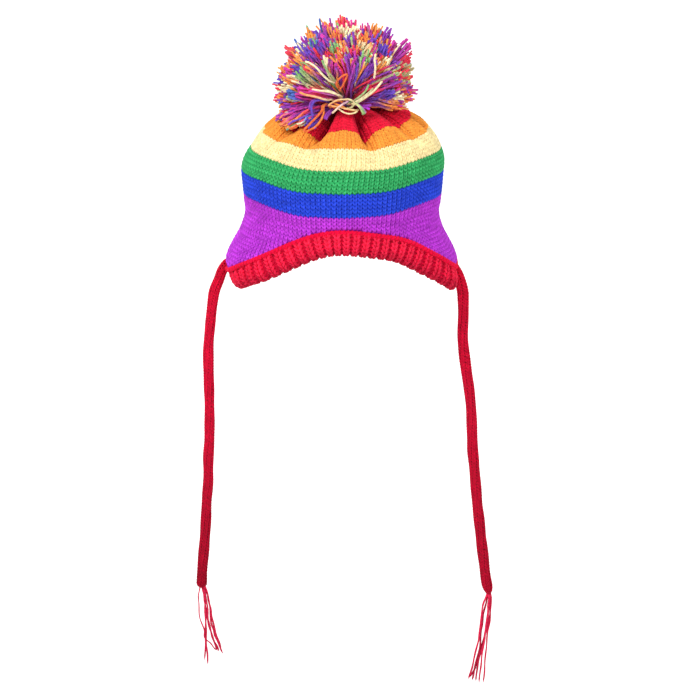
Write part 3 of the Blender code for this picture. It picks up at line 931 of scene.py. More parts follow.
def build_backing(surface, profile, start):
    """A thin closed shell under the stitches, striped like them in darker colours as painted shade,
    down to the arched edge.
    """
    columns, line = BACKING_COLUMNS, BACKING_ROWS + 1
    across = np.arange(columns)[:, None] / columns + np.zeros((1, line))
    even = np.linspace(0, surface.length, len(profile))
    edge = np.interp(seam_height(TAU * across[:, 0]), profile[:, 1], even) - 0.001
    edge = np.maximum(edge, 0.0)[:, None]
    up = edge + (surface.length - 0.001 - edge) * np.linspace(0, 1, line)[None]
    sides = [surface.at(across, up, np.full(across.shape, -d))[0] for d in BACKING_DEPTHS]
    verts = np.concatenate([side.reshape(-1, 3) for side in sides])
    face = tube_quads(columns, line, BACKING_ROWS)
    back = face[:, ::-1] + columns * line
    low = np.arange(columns) * line
    ahead = (np.arange(columns) + 1) % columns * line
    rim = np.stack([ahead, low, low + columns * line, ahead + columns * line], -1)
    quads = np.vstack([face, back, rim])
    levels = start + np.arange(len(STRIPES) - 1) * COURSE * STRIPE_COURSES
    edges = np.stack([shifted(level, across[:, 0], start) for level in levels], 1)
    middle = (up[:, :-1] + up[:, 1:]) / 2
    slot = np.sum(middle[:, :, None] > edges[:, None, :], axis=2).ravel()
    slots = np.concatenate([slot, slot, np.zeros(len(rim))])
    thing = make_mesh("crown_shaded_backing", verts, quads, slots=slots)
    for k, stripe in enumerate(STRIPES):
        material = shaded_backing_material("backing_%d" % k, stripe.colour, stripe.dark, stripe.light)
        thing.data.materials.append(material)
    return thing


# Band.


def build_band_surface():
    """The band's face, from the inside of its top round to the outside of its top."""
    section = smooth_line([(o, d, 0) for o, d in BAND_SECTION_MM], 12)[:, :2] * MM
    s = along(section)
    section_out, section_down = evened(section, s, BAND_STEPS).T[:, None]
    angle = TAU * np.arange(BAND_COLUMNS) / BAND_COLUMNS
    height = seam_height(angle)
    radius = ear_radius(height) - KNIT_WALL / 2
    seam = np.stack([radius * np.sin(angle), -radius * np.cos(angle), height], -1)
    ahead = unit(np.roll(seam, -1, 0) - np.roll(seam, 1, 0))
    out = np.stack([np.sin(angle), -np.cos(angle), 0 * angle], -1)
    down = unit(np.cross(ahead, out))
    down = np.where(down[:, 2:] > 0, -down, down)
    side = np.sin(angle)
    tuck = np.where(angle > np.pi, LEFT_TIP_TUCK, EAR_TUCK) * side**2
    near = np.clip((np.abs(side) - ROLL_START) / (1 - ROLL_START), 0, 1)
    roll = np.radians(np.where(side < 0, ROLL_LEFT_DEG, ROLL_RIGHT_DEG)) * ease(near)
    cos, sin = np.cos(roll)[:, None], np.sin(roll)[:, None]
    sideways = section_out * cos - section_down * sin - tuck[:, None]
    lower = section_out * sin + section_down * cos
    lower = lower * (1 - LEFT_TIP_SHRINK * near * (side < 0))[:, None]
    wave = 0.00035 * np.sin(5 * angle + 1) + 0.0003 * np.sin(11 * angle)
    sideways = sideways + wave[:, None] * (section_down / BAND_HEIGHT)
    points = seam[:, None] + out[:, None] * sideways[..., None]
    points = points + down[:, None] * lower[..., None]
    return Surface(points, s[-1]), seam, out, down, tuck


def build_band():
    """Ribbed stitches round a core, and the seam's corded ridge on top."""
    surface, seam, out, down, tuck = build_band_surface()
    stitch = mirrored(RIB_STITCH)
    chance = np.random.default_rng(8)
    yarns = Yarns(5)
    count = int(surface.length / COURSE)
    height = surface.length / count
    for c in range(count):
        up = (c + 0.5) * height
        path, normal = course(
            surface, up, range(RIB_COUNT), stitch, height, BAND_SINK, 1 / RIB_COUNT
        )
        wobble = np.repeat(chance.uniform(0.92, 1.08, RIB_COUNT), len(stitch))
        shade = np.repeat(chance.uniform(0.88, 1.08, RIB_COUNT), len(stitch))
        # Painted shade over the band's hidden inner side and underside, and painted shade and highlight
        # from the ribs' relief.
        shade = shade * np.interp(up / surface.length, BAND_PAINTED_SHADE_PLACES, BAND_PAINTED_SHADES)
        tint = painted_relief_light(BAND_RED, stitch, RIB_COUNT, BAND_PAINTED_RELIEF, BAND_PAINTED_HIGHLIGHT) * shade[:, None]
        yarns.add(path, normal, BAND_YARN_RADIUS * wobble, tint, True)
    ribs = yarns.build("band_ribs", yarn_material("yarn_band", sheen_tint=BAND_SHEEN))

    columns, rows = CORE_COLUMNS, CORE_ROWS
    across = np.arange(columns)[:, None] / columns + np.zeros((1, rows))
    up = np.linspace(0, surface.length, rows)[None] + np.zeros((columns, 1))
    groove = CORE_GROOVE * np.cos(TAU * RIB_COUNT * across)
    verts, _ = surface.at(across, up, -BAND_SINK - 0.0001 - groove)
    core = make_mesh("band_shaded_core", verts.reshape(-1, 3), tube_quads(columns, rows, rows))
    # The core is painted darker as the shade seen between the ribs.
    core.data.materials.append(shaded_backing_material("backing_band", BAND_RED, 0.55, 0.72))

    ridge = Yarns(5)
    length = along(np.vstack([seam, seam[:1]]))
    turns = round(length[-1] / RIDGE_PITCH)
    samples = turns * 10
    want = np.arange(samples) / samples * length[-1]
    index = np.interp(want, length, np.arange(len(length)))
    low = np.floor(index).astype(int) % len(seam)
    read = reader(low, (low + 1) % len(seam), (index - np.floor(index))[:, None])
    centre = read(seam) + read(out) * (RIDGE_OUT - read(tuck[:, None]) * 0.3)
    centre = centre + read(down) * RIDGE_DOWN
    for strand in range(2):
        phase = TAU * (turns * np.arange(samples) / samples + strand / 2)
        side = read(out) * np.cos(phase)[:, None] - read(down) * np.sin(phase)[:, None]
        path = centre + side * RIDGE_TWIST_RADIUS
        shade = chance.uniform(0.92, 1.05, (samples, 1))
        ridge.add(path, side, RIDGE_YARN_RADIUS, np.array(BAND_RED)[None] * shade, True)
    edge = ridge.build("band_seam", yarn_material("yarn_seam", sheen_tint=BAND_SHEEN))
    dress((ribs, core, edge), "band")


# Tie cords and fringes.


def frames_on(line):
    """Two unit vectors square to a line at each of its points, turning as little as they can."""
    ahead = unit(np.gradient(line, axis=0))
    firsts = [unit(np.cross(ahead[0], (0.0, 1.0, 0.0)))]
    for direction in ahead[1:]:
        last = firsts[-1]
        firsts.append(unit(last - direction * np.dot(last, direction)))
    firsts = np.array(firsts)
    return firsts, np.cross(ahead, firsts)


def build_cord(tie):
    """A knitted tube on its route, over a plain core, closed at the tip."""
    name, tip = "tie_" + tie.side, tie.tip
    line = smooth_line(tie.route, 16)
    length = along(line)[-1]
    even = np.linspace(0, length, CORD_STEPS)
    line = evened(line, along(line), CORD_STEPS)
    a, b = frames_on(line)
    stitch = mirrored(KNIT_STITCH)
    chance = np.random.default_rng(len(name))
    courses = int(length / CORD_COURSE)
    total = courses * CORD_WALES
    place = (np.arange(total)[:, None] + stitch[None, :, 0]).ravel()
    lift = np.tile(stitch[:, 1], total) * CORD_COURSE
    out = np.tile(stitch[:, 2], total) * MM * CORD_RELIEF
    s = length - np.clip(place / total * length + lift, 0, length)
    turn = TAU * place / CORD_WALES + CORD_TWIST * s / length
    close = np.clip((s - (length - tip)) / tip, 0, 1)
    shrink = np.sqrt(np.clip(1 - close**2, 0.02, 1))
    wave = 1 + 0.035 * np.sin(s * 260 + 1.0) + 0.03 * np.sin(s * 97)
    wave = wave * np.interp(s / length, np.linspace(0, 1, len(tie.girth)), tie.girth)
    radius = ((CORD_DIAMETER / 2 - CORD_INSET) * wave + out) * shrink
    index = s / length * (len(line) - 1)
    low = np.minimum(index.astype(int), len(line) - 2)
    read = reader(low, low + 1, (index - low)[:, None])
    facing = read(a) * np.cos(turn)[:, None] + read(b) * np.sin(turn)[:, None]
    path = read(line) + facing * radius[:, None]
    shade = np.repeat(chance.uniform(0.90, 1.06, total), len(stitch))
    # Painted shade along the cord: lighter at the top, darker towards the tip.
    drop = np.interp(s / length, np.linspace(0, 1, len(tie.shades)), tie.shades)
    tint = np.array(CORD_RED)[None] * (shade * drop)[:, None]
    yarns = Yarns(4)
    yarns.add(path, facing, CORD_YARN_RADIUS * (0.6 + 0.4 * shrink), tint)

    core = np.linspace(0, len(line) - 1, 90).astype(int)
    end = np.clip((even[core] - (length - tip)) / tip, 0, 1)
    taper = np.sqrt(np.clip(1 - end**2, 0.001, 1))
    taper[0] = 0.02
    # The core, painted darker as the shade seen between the stitches.
    dark = np.array(CORD_RED) * 0.75
    yarns.add(line[core], a[core], CORD_DIAMETER / 2 * CORD_CORE * taper, dark)
    piece = yarns.build(name + "_knit", yarn_material("yarn_" + name, sheen=0.02))
    dress([piece], name)


def build_fringe(tie):
    """Loose yarns out of the cord's tip, each with a slight curl and a soft end."""
    name = "fringe_" + tie.side
    chance = np.random.default_rng(3 + len(name))
    yarns = Yarns(6)
    for strand in tie.fringe:
        path = smooth_line(np.array(strand.points) * MM, 6)
        t = np.linspace(0, 1, len(path))
        phase = chance.uniform(0, TAU)
        curl = np.stack([np.sin(26 * t + phase), np.cos(22 * t + phase), 0 * t], 1)
        path = path + curl * 0.00022 * np.minimum(1, 4 * t)[:, None]
        radius = strand.radius * MM * (1 + 0.10 * np.sin(40 * t + phase))
        radius[-1] *= 0.2
        shade = chance.uniform(0.85, 1.15) * (1 - 0.25 * t[:, None] ** 3)
        yarns.add(path, np.array((0.0, -1.0, 0.0)), radius, np.array(FRINGE_RED) * shade)
    piece = yarns.build(name + "_yarns", yarn_material("yarn_" + name, pitch=0.003, sheen=0.03))
    dress([piece], name)
    return piece


# Pompom.

# Colours in the order that they follow each other along the dyed yarn.
DYES = (
    PURPLE, VIOLET, MAGENTA, RED, ORANGE, ORANGE, CREAM, GREY,
    GREEN, BLUE, ORANGE, PURPLE, MAGENTA, RED, RED, ORANGE,
    CREAM, ORANGE, PURPLE, RED,
)
DYE_LENGTH = 0.45


def dyed(place):
    """Colour of the dyed yarn at places along it, as turns through its colours."""
    colours = np.array(DYES)
    at = (np.asarray(place) % 1.0) * len(colours)
    k = np.floor(at).astype(int) % len(colours)
    rise = ease(np.clip((at - np.floor(at) - 0.55) / 0.45, 0, 1)[..., None])
    return colours[k] * (1 - rise) + colours[(k + 1) % len(colours)] * rise


def pompom_reach(origin, direction):
    """Distance from a place inside the ball to its outside, along a unit direction."""
    offset = origin - np.array(POMPOM_MIDDLE)
    b = float(offset @ direction)
    return -b + math.sqrt(max(b * b - float(offset @ offset) + POMPOM_RADIUS**2, 0.0))


def shoulder_height(x, y):
    """Height of the crown's outside under a place in the pompom."""
    out = np.hypot(x - CROWN_LEAN, y)
    radii = [row.radius * CROWN_RADIUS for row in CROWN_ROWS][::-1]
    heights = [row.height * CROWN_TOP for row in CROWN_ROWS][::-1]
    return np.interp(out, radii, heights) + LOBE_PUFF


def lock_directions(count):
    """Even directions over the ball down to its skirt, parted round the knot at the front."""
    k = np.arange(count) + 0.5
    lowest = math.cos(math.radians(POMPOM_SKIRT_DEG))
    z = 1 - (1 - lowest) * k / count
    turn = math.pi * (1 + 5**0.5) * k
    flat = np.sqrt(1 - z**2)
    tilt = math.radians(POMPOM_TILT_DEG)
    x = flat * np.cos(turn)
    across, up = math.cos(tilt), math.sin(tilt)
    d = np.stack([x * across - z * up, flat * np.sin(turn), x * up + z * across], -1)
    pole = np.array((-up, 0.0, across))
    front = unit(np.array(PARTING))
    cosine = d @ front
    angle = np.arccos(np.clip(cosine, -1, 1))
    aside = unit(d - front * cosine[:, None])
    wide = math.radians(PARTING_REACH_DEG)
    gap = np.radians(PARTING_UP_DEG + (PARTING_SIDE_DEG - PARTING_UP_DEG) * aside[:, 0] ** 2)
    moved = np.where(angle < wide, gap + angle * (wide - gap) / wide, angle)
    d = unit(front * np.cos(moved)[:, None] + aside * np.sin(moved)[:, None])
    return d[d @ pole > lowest - 0.02]


# Locks on the front: the middle and the tip in millimetres, and the colours on the way out.
Lock = namedtuple("Lock", "middle tip near between far")
FRONT_LOCKS = (
    Lock((-22, -20, 112), (-43, -13, 123), MAGENTA, MAGENTA, ORANGE),
    Lock((-21, -21, 115), (-41, -18, 123), RED, MAGENTA, MAGENTA),
    Lock((-16, -28, 120), (-27, -31, 133), RED, GREY, RED),
    Lock((-18, -26, 118), (-30, -30, 129), RED, GREY, GREEN),
    Lock((-19, -25, 111), (-39, -24, 119), RED, RED, ORANGE),
    Lock((-16, -32, 110), (-32, -33, 113), MAGENTA, RED, MAGENTA),
    Lock((-24, -26, 106), (-38, -26, 109), RED, VIOLET, BLUE),
    Lock((-26, -15, 100), (-45, -8, 104), VIOLET, RED, ORANGE),
    Lock((-27, -16, 97), (-44, -8, 96), BLUE, CREAM, ORANGE),
    Lock((-27, -28, 97), (-45, -15, 89), VIOLET, MAGENTA, PURPLE),
    Lock((-24, -35, 95), (-39, -35, 86), MAGENTA, RED, ORANGE),
    Lock((-19, -34, 97), (-30, -38, 89), PURPLE, BLUE, CREAM),
    Lock((-15, -32, 99), (-23, -44, 89), PURPLE, PURPLE, VIOLET),
    Lock((-29, -30, 95), (-43, -27, 87), VIOLET, MAGENTA, ORANGE),
    Lock((-2, -24, 127), (-6, -30, 146), PURPLE, BLUE, GREEN),
    Lock((1, -25, 128), (1, -33, 145), RED, PURPLE, ORANGE),
    Lock((6, -31, 122), (6, -37, 141), MAGENTA, PURPLE, PURPLE),
    Lock((9, -32, 123), (12, -38, 138), MAGENTA, PURPLE, MAGENTA),
    Lock((14, -31, 120), (21, -36, 135), PURPLE, VIOLET, PURPLE),
    Lock((22, -20, 123), (31, -23, 142), RED, VIOLET, VIOLET),
    Lock((26, -25, 120), (35, -27, 133), GREEN, ORANGE, CREAM),
    Lock((29, -21, 114), (43, -22, 125), VIOLET, RED, RED),
    Lock((32, -15, 110), (49, -8, 117), GREY, CREAM, ORANGE),
    Lock((25, -30, 109), (37, -33, 113), MAGENTA, VIOLET, VIOLET),
    Lock((29, -25, 106), (43, -26, 107), RED, RED, CREAM),
    Lock((30, -15, 102), (49, -9, 100), PURPLE, RED, MAGENTA),
    Lock((26, -27, 104), (38, -29, 102), MAGENTA, VIOLET, ORANGE),
    Lock((-12, -12, 129), (-23, -8, 150), PURPLE, ORANGE, ORANGE),
    Lock((-7, -20, 131), (-14, -24, 148), PURPLE, VIOLET, MAGENTA),
    Lock((-3, -13, 131), (-6, -15, 154), PURPLE, MAGENTA, ORANGE),
    Lock((2, -11, 134), (2, -11, 155), RED, GREY, CREAM),
    Lock((6, -16, 135), (9, -18, 154), ORANGE, CREAM, CREAM),
    Lock((12, -19, 132), (16, -23, 150), MAGENTA, RED, ORANGE),
    Lock((18, -10, 130), (25, -8, 155), RED, GREY, ORANGE),
    Lock((23, -10, 129), (34, -8, 152), RED, VIOLET, PURPLE),
    Lock((28, -12, 125), (38, -8, 143), RED, PURPLE, MAGENTA),
    Lock((30, -12, 119), (47, -8, 129), RED, PURPLE, MAUVE),
    Lock((14, -11, 132), (19, -9, 154), RED, GREEN, MAGENTA),
    Lock((-7, -8, 132), (-10, -8, 155), PURPLE, GREEN, MAGENTA),
    Lock((30, -11, 127), (47, -8, 141), RED, PURPLE, MAGENTA),
    Lock((31, -12, 122), (49, -10, 133), PURPLE, MAUVE, RED),
    Lock((31, -15, 118), (49, -14, 127), VIOLET, RED, GREY),
    Lock((-24, -12, 118), (-43, -10, 127), RED, MAGENTA, ORANGE),
    Lock((-25, -12, 114), (-45, -10, 119), MAGENTA, VIOLET, VIOLET),
    Lock((-19, -13, 124), (-38, -8, 139), PURPLE, GREY, RED),
    Lock((-16, -15, 127), (-32, -14, 141), PURPLE, GREY, VIOLET),
)


def add_lock(yarns, chance, line, dye, count):
    """A lock of yarns along a line from the heart; dye gives the colours along one yarn."""
    t = np.linspace(0, 1, len(line))[:, None]
    reach = np.linalg.norm(line[-1] - line[0])
    aim = (line[-1] - line[0]) / reach
    for _ in range(count):
        size = chance.uniform(0.92, 1.0)
        if chance.random() < SHORT_SHARE:
            size *= chance.uniform(0.75, 0.92)
        apart = unit(np.cross(aim, chance.normal(0, 1, 3))) * LOCK_RADIUS
        apart = apart * math.sqrt(chance.random())
        path = line + (line - line[0]) * (size - 1) + chance.normal(0, ROOT_SCATTER, 3)
        path = path + apart * np.sin(np.minimum(1, t / 0.4) * np.pi / 2)
        path = path + chance.normal(0, YARN_SPREAD, 3) * reach * t
        across = unit(np.cross(aim, chance.normal(0, 1, 3)))
        wave = chance.uniform(1.2, 2.4)
        swing = np.sin(TAU * (wave * t + chance.random())) * np.minimum(1, 3 * t)
        path = path + across * swing * chance.uniform(*YARN_WAVES)
        floor = shoulder_height(path[:, 0], path[:, 1]) + CROWN_CLEARANCE
        path[:, 2] = np.maximum(path[:, 2], np.minimum(floor, path[:, 2] + 0.03))
        if chance.random() < ODD_DYE_SHARE:
            start = chance.random()
            tint = dyed(start + t[:, 0] * reach / DYE_LENGTH)
        else:
            tint = dye(t[:, 0] * reach * size + chance.normal(0, 0.003))
        # Painted shade: darker towards the roots, deep inside the ball.
        tint = tint * (ROOT_PAINTED_SHADE + (1 - ROOT_PAINTED_SHADE) * ease(np.clip(t / 0.65, 0, 1)))
        tint = np.minimum(tint * chance.uniform(0.95, 1.25), 1.0)
        radius = POMPOM_YARN_RADIUS * chance.uniform(0.82, 1.10) * np.ones(len(line))
        radius = np.append(radius, radius[-1] * 0.12)
        path = np.vstack([path, path[-1:] + aim * YARN_TIP])
        yarns.add(path, across, radius, np.vstack([tint, tint[-1:]]))


def build_pompom():
    """Locks of cut variegated yarn that fan out of the knot."""
    chance = np.random.default_rng(POMPOM_SEED)
    heart = np.array(POMPOM_HEART)
    t = np.linspace(0, 1, 9)[:, None]
    halves = [Yarns(4), Yarns(4)]
    directions = lock_directions(LOCK_COUNT)
    directions = unit(directions + chance.normal(0, LOCK_SCATTER, directions.shape))
    for k, aim in enumerate(directions):
        bow = unit(np.cross(aim, chance.normal(0, 1, 3))) * chance.normal(0, LOCK_BOW)
        bow[2] = abs(bow[2]) * 0.6
        reach = pompom_reach(heart, aim) * chance.uniform(*LOCK_REACH)
        line = heart + aim * reach * t + bow * np.sin(np.pi * t**1.2)
        line[:, 2] -= (LOCK_DROOP * (1 - aim[2] ** 2) * t**2)[:, 0]
        start, way_round = chance.random(), chance.choice((-1, 1))

        def dye(place):
            return dyed(start + way_round * place / DYE_LENGTH)

        add_lock(halves[k % 2], chance, line, dye, LOCK_YARNS)
    for k, lock in enumerate(FRONT_LOCKS):
        points = np.array([heart, np.array(lock.middle) * MM, np.array(lock.tip) * MM])
        points[1] += chance.normal(0, MIDDLE_SCATTER, 3)
        line = smooth_line(points, 4)
        reach = np.linalg.norm(line[-1] - line[0])
        colours = np.array((lock.near, lock.between, lock.far))

        def blend(place):
            share = np.clip(place / reach, 0, 1)
            return np.stack([np.interp(share, (0.3, 0.6, 0.92), c) for c in colours.T], -1)

        add_lock(halves[k % 2], chance, line, blend, FRONT_YARNS)
    pieces = [
        yarns.build("pompom_yarns" + part, yarn_material("yarn_pompom" + part, groove_shade=0.14))
        for yarns, part in zip(halves, ("", "_2"))
    ]
    dress(pieces + [build_stray_yarns()], "pompom")


# Single yarns that lie loose over the pompom and in the bow of its tie: colours at both ends,
# radius in millimetres and the points that the yarn passes, in millimetres.
Stray = namedtuple("Stray", "start end radius points")
STRAYS = (
    Stray(ORANGE, PALE_YELLOW, 0.66, (
        (-2.3, -26, 97.4), (-6.3, -33, 100.8), (-9.3, -36, 102.4), (-6.8, -37, 104.8),
        (-2.8, -38, 106.9), (1.3, -38.5, 107.4), (4.3, -38, 106.9))),
    Stray(ORANGE, ORANGE, 0.62, (
        (-2.3, -26, 97.9), (-5.8, -33, 100.6), (-8.6, -35, 102.7), (-5.8, -36, 105), (-2.3, -37, 106),
        (0.8, -36, 105))),
    Stray(PALE_YELLOW, GREY, 0.72, (
        (0.8, -37, 106.9), (4.3, -39, 107.7), (7.4, -40, 106.8), (8.8, -40, 105), (8.1, -39.5, 103),
        (6.1, -39, 101.6), (3.5, -37, 101.2))),
    Stray(ORANGE, PALE_YELLOW, 0.72, (
        (-7.8, -30, 98.7), (-8.3, -36, 102.4), (-5.3, -38, 102.3), (-1.3, -39, 102.1),
        (2.5, -40, 101.1), (6.3, -40, 100.5), (9.3, -39, 99.8), (12.1, -36, 99.5))),
    Stray(ORANGE, DEEP_ORANGE, 0.66, (
        (-6.8, -34, 104.1), (-3.8, -37, 103.6), (0.3, -38, 102.4), (3.8, -38.5, 100.4),
        (8.3, -38, 99.1), (11.3, -36, 98.7))),
    Stray(CREAM, PALE_YELLOW, 0.66, (
        (-3, -36, 100.9), (-1.3, -39, 100.1), (1.5, -40, 98.4), (5.3, -40, 97.4), (8.8, -39.5, 97.9),
        (11.3, -38, 98.9))),
    Stray(MAUVE, CREAM, 0.80, (
        (5.3, -36, 106.5), (3.5, -40, 105.8), (1.3, -41.5, 105), (-1.8, -42, 102.9),
        (-4.3, -41.5, 100.4), (-6.9, -40, 97.7))),
    Stray(GREY, CREAM, 0.85, (
        (6.8, -34, 102), (9.3, -38, 104.3), (13.9, -39, 107), (19.4, -40, 111.2), (23.2, -41, 114.7),
        (28.7, -42, 121.5))),
    Stray(CREAM, GREY, 0.75, (
        (7.3, -34, 103.1), (10.3, -38, 105.9), (14.4, -39, 108.7), (19.4, -40, 113), (22.4, -41, 116))),
    Stray(GREY, GREEN, 0.75, (
        (6.3, -33, 103.4), (9.3, -37, 106.7), (13.4, -39, 110.2), (16.9, -40, 114),
        (19.1, -41, 118.8))),
    Stray(PALE_YELLOW, GREEN, 0.90, (
        (4.3, -30, 102.3), (7.6, -38, 104.3), (10.6, -40.5, 104.2), (12.9, -41, 102), (14.6, -40, 98.6),
        (15, -39, 96.6))),
    Stray(GREEN, GREEN, 1.00, (
        (4.8, -30, 103.3), (8.3, -37, 104.7), (11.3, -40, 103.7), (13.9, -40.5, 100.8),
        (16.5, -39, 97.1))),
    Stray(GREEN, MAUVE, 0.75, (
        (6.3, -30, 103.8), (9.3, -37.5, 104.8), (12.6, -39.5, 103.1), (15.1, -40, 100.7),
        (17.2, -39, 97.8))),
    Stray(RUST, RUST, 0.72, (
        (-0.8, -30, 111.5), (-2.7, -37, 115.7), (-3.8, -40, 118.3), (-3.3, -42, 121), (-1.1, -44, 124),
        (1.5, -45, 126.1), (4.2, -45, 126.8))),
    Stray(RUST, RUST, 0.72, (
        (-0.8, -30, 111.5), (-1.4, -37, 114.4), (0.3, -40, 117.1), (2.3, -43, 121.7), (3.3, -44, 124.5),
        (3.9, -45, 126.3))),
    Stray(ORANGE, RUST, 0.85, (
        (-9.4, -28, 102.4), (-12.8, -36, 102.4), (-12.9, -39, 97.9), (-14.7, -42, 93.4),
        (-18.4, -45, 89.3), (-22.4, -46, 87.1), (-25.9, -46, 85.7))),
    Stray(RUST, RUST, 0.85, (
        (-9.4, -28, 102.9), (-13.6, -37, 102.6), (-14, -40, 99.9), (-17.4, -43.5, 96.2),
        (-20.9, -46, 93), (-23.9, -47, 90), (-26.4, -47, 87.4), (-25.4, -47, 86), (-22.4, -47, 87.3))),
    Stray(VIOLET, VIOLET, 0.90, (
        (-8.8, -28, 102.9), (-12.3, -35, 106), (-17.9, -39, 106.7), (-20.9, -41.5, 104.5),
        (-21.3, -43, 100.2), (-19.9, -43, 96.1))),
    Stray(VIOLET, PURPLE, 0.90, (
        (-8.8, -28, 103.4), (-11.8, -35, 107.1), (-18.4, -38, 107.4), (-21.9, -40.5, 105.4),
        (-22.9, -42, 100.5))),
    Stray(PURPLE, PURPLE, 1.00, (
        (-4.8, -28, 99.8), (-8.8, -35, 98.1), (-11.3, -38.5, 96.3), (-12.7, -40, 93.5))),
    Stray(PURPLE, PURPLE, 1.00, (
        (-4.3, -28, 98.8), (-7.8, -35, 97.1), (-10.1, -38.5, 95.2), (-11.2, -40, 93))),
    Stray(LIGHT_PURPLE, PURPLE, 1.00, (
        (10.3, -28, 101.9), (14.4, -35, 102.2), (17.9, -38, 102.8), (20.9, -40, 103.7))),
    Stray(PURPLE, LIGHT_PURPLE, 1.00, (
        (10.3, -28, 100.9), (14.4, -35, 101), (17.4, -38, 101.2), (19.7, -40, 100.7))),
    Stray(CREAM, CREAM, 0.80, (
        (0.2, -28, 107), (-1.3, -35, 109.4), (-5.8, -38.5, 111.9), (-10.8, -40, 113.5),
        (-15.8, -41, 114.3), (-21.4, -41, 115.2))),
    Stray(CREAM, CREAM, 0.75, (
        (-0.3, -28, 106), (-2.3, -35, 109.4), (-6.3, -38, 112.6), (-10.8, -40, 114.1),
        (-14.8, -41, 114.1))),
    Stray(CREAM, ORANGE, 0.85, (
        (-5.8, -30, 105.4), (-11.3, -36, 106.8), (-15.9, -39, 108.7), (-19.9, -41, 110.2),
        (-25.9, -42, 111.6), (-29.9, -42, 113.4))),
    Stray(MAUVE, MAGENTA, 0.85, (
        (-1.3, -28, 107), (-5.8, -36, 110.1), (-11.3, -39, 111.7), (-17.8, -41, 113.7),
        (-23.9, -42, 113.9))),
    Stray(CREAM, CREAM, 0.80, (
        (-4.8, -34, 118.5), (-8.8, -38, 120.8), (-13.3, -40, 125.2), (-17.8, -41, 130.6),
        (-22.3, -41, 133.9), (-25.9, -40, 135))),
    Stray(GREY, CREAM, 0.80, (
        (-4.8, -34, 119), (-8.3, -38, 123.3), (-10.3, -41, 128.5), (-11.3, -43, 133.5),
        (-12.3, -44, 137.2), (-12.7, -44, 140.3))),
    Stray(GREY, GREEN, 0.80, (
        (-4.3, -34, 119.5), (-6.5, -38, 123.3), (-9.8, -41, 128), (-12, -43, 132.5),
        (-14, -44, 136.7))),
    Stray(CREAM, CREAM, 0.75, (
        (-6.3, -34, 119.5), (-9.3, -38, 124.6), (-10.8, -41, 130.6), (-10.5, -43, 134.5),
        (-10.2, -44, 138.8))),
    Stray(CREAM, CREAM, 0.80, (
        (22.8, -38, 122.3), (23.3, -40, 126.8), (23.6, -42, 131.3), (23.1, -43, 136.5),
        (23.8, -43, 141.1))),
    Stray(BLUE, BLUE, 0.85, ((-18, -6, 120), (-28, -9, 136), (-34, -10, 146))),
    Stray(BLUE, GREEN, 0.85, ((-14, -4, 130), (-22, -6, 146), (-25, -7, 155))),
    Stray(BLUE, BLUE, 0.85, ((-8, -4, 130), (-14, -6, 150), (-16, -7, 160))),
)


def build_stray_yarns():
    """The bow of the tie, its tails, and single yarns that stand out of the pompom."""
    yarns = Yarns(6)
    for stray in STRAYS:
        line = smooth_line(np.array(stray.points, float) * MM, 8)
        t = np.linspace(0, 1, len(line))[:, None]
        tint = np.array(stray.start) * (1 - t) + np.array(stray.end) * t
        radius = stray.radius * MM * np.ones(len(line))
        radius[[0, -1]] *= 0.15
        yarns.add(line, np.array((0.1, -1.0, 0.2)), radius, tint)
    return yarns.build("pompom_strays", yarn_material("yarn_strays", groove_shade=0.14))


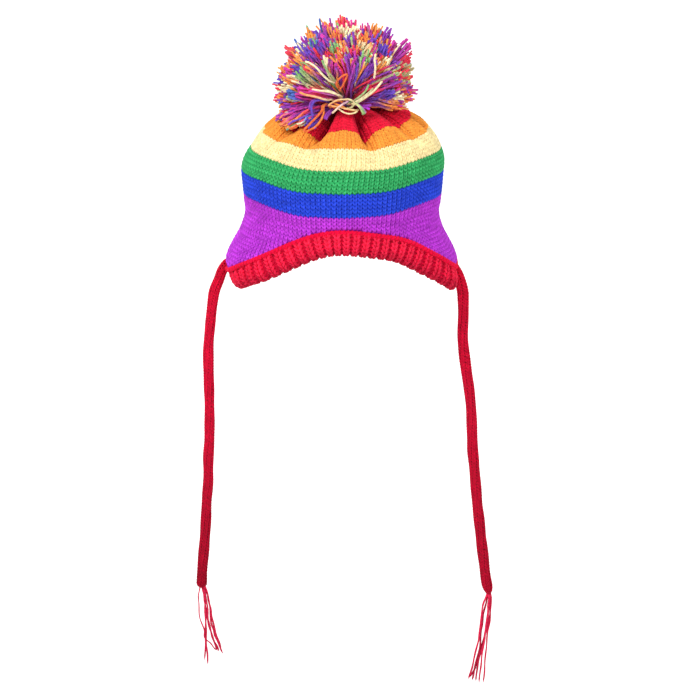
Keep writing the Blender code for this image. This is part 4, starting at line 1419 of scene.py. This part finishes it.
def build_pompom_tie():
    """The tie's yarns through the gathered hole, wound into a knot inside the crown."""
    yarns = Yarns(6)
    centre = np.array((CROWN_LEAN, 0.0, CROWN_TOP - KNOT_DROP))
    t = np.linspace(0, 1, 90)[:, None]
    for k, (tilt, size) in enumerate(KNOT_WINDINGS):
        turn = TAU * 2 * t + k
        high = np.sin(turn)
        ring = np.hstack([np.cos(turn), high * math.cos(tilt), high * math.sin(tilt)])
        path = centre + ring * (1, 1, 0.45) * size * (0.85 + 0.15 * np.cos(3 * turn))
        path[:, 2] = np.minimum(path[:, 2], CROWN_TOP - KNIT_WALL - KNOT_YARN_RADIUS)
        yarns.add(path, np.array((0.3, 0.2, 1.0)), KNOT_YARN_RADIUS, (PURPLE, CREAM)[k % 2])
    for k in range(4):
        place = TAU * k / 4
        side = np.array((math.cos(place), math.sin(place), 0.0)) * STEM_RADIUS
        ends = [centre + side + (0, 0, height) for height in STEM_HEIGHTS]
        yarns.add(smooth_line(ends, 3), np.array((1.0, 0.2, 0.0)), STEM_YARN_RADIUS, CREAM)
    dress([yarns.build("pompom_knot", yarn_material("yarn_knot"))], "pompom_tie")


# Floor and light.


def build_stage():
    """A wide pale floor far enough below that the hat hangs free over it."""
    signs = np.array([(-1, -1, 0), (1, -1, 0), (1, 1, 0), (-1, 1, 0)])
    verts = signs * FLOOR_HALF + (0.0, 0.0, FLOOR_HEIGHT)
    floor = make_mesh("floor", verts, np.array([[0, 1, 2, 3]]))
    nodes = Nodes("floor_white")
    grain = nodes.noise(3.0, 2.0, 0.5)
    factor = nodes.remap(grain, 0.0, 1.0, 0.985, 1.0)
    nodes.join(nodes.scaled((0.95, 0.95, 0.95), factor), nodes.shader.inputs["Base Color"])
    nodes.shader.inputs["Roughness"].default_value = 1.0
    nodes.shader.inputs["Specular IOR Level"].default_value = 0.0
    floor.data.materials.append(nodes.material)


def build_light():
    """Soft white studio light, stronger from the upper left."""
    world = bpy.data.worlds.new("studio")
    bpy.context.scene.world = world
    world.use_nodes = True
    background = world.node_tree.nodes["Background"]
    background.inputs[0].default_value = (1.0, 1.0, 1.0, 1.0)
    background.inputs[1].default_value = WORLD_LIGHT
    for lamp in LAMPS:
        data = bpy.data.lights.new(lamp.name, "AREA")
        data.shape = "SQUARE"
        data.size = lamp.size
        data.energy = lamp.power
        place_in_scene(lamp.name, data, lamp.place, Vector(lamp.target) - Vector(lamp.place))
    settings = bpy.context.scene.view_settings
    settings.view_transform = "Standard"
    settings.look = "None"


def main():
    build_camera()
    fringes = [build_fringe(tie) for tie in TIES]
    for tie, fringe in zip(TIES, fringes):
        build_cord(tie)
    surface, profile = build_crown_surface()
    build_crown(surface, profile)
    build_band()
    build_pompom()
    build_pompom_tie()
    build_stage()
    build_light()


main()
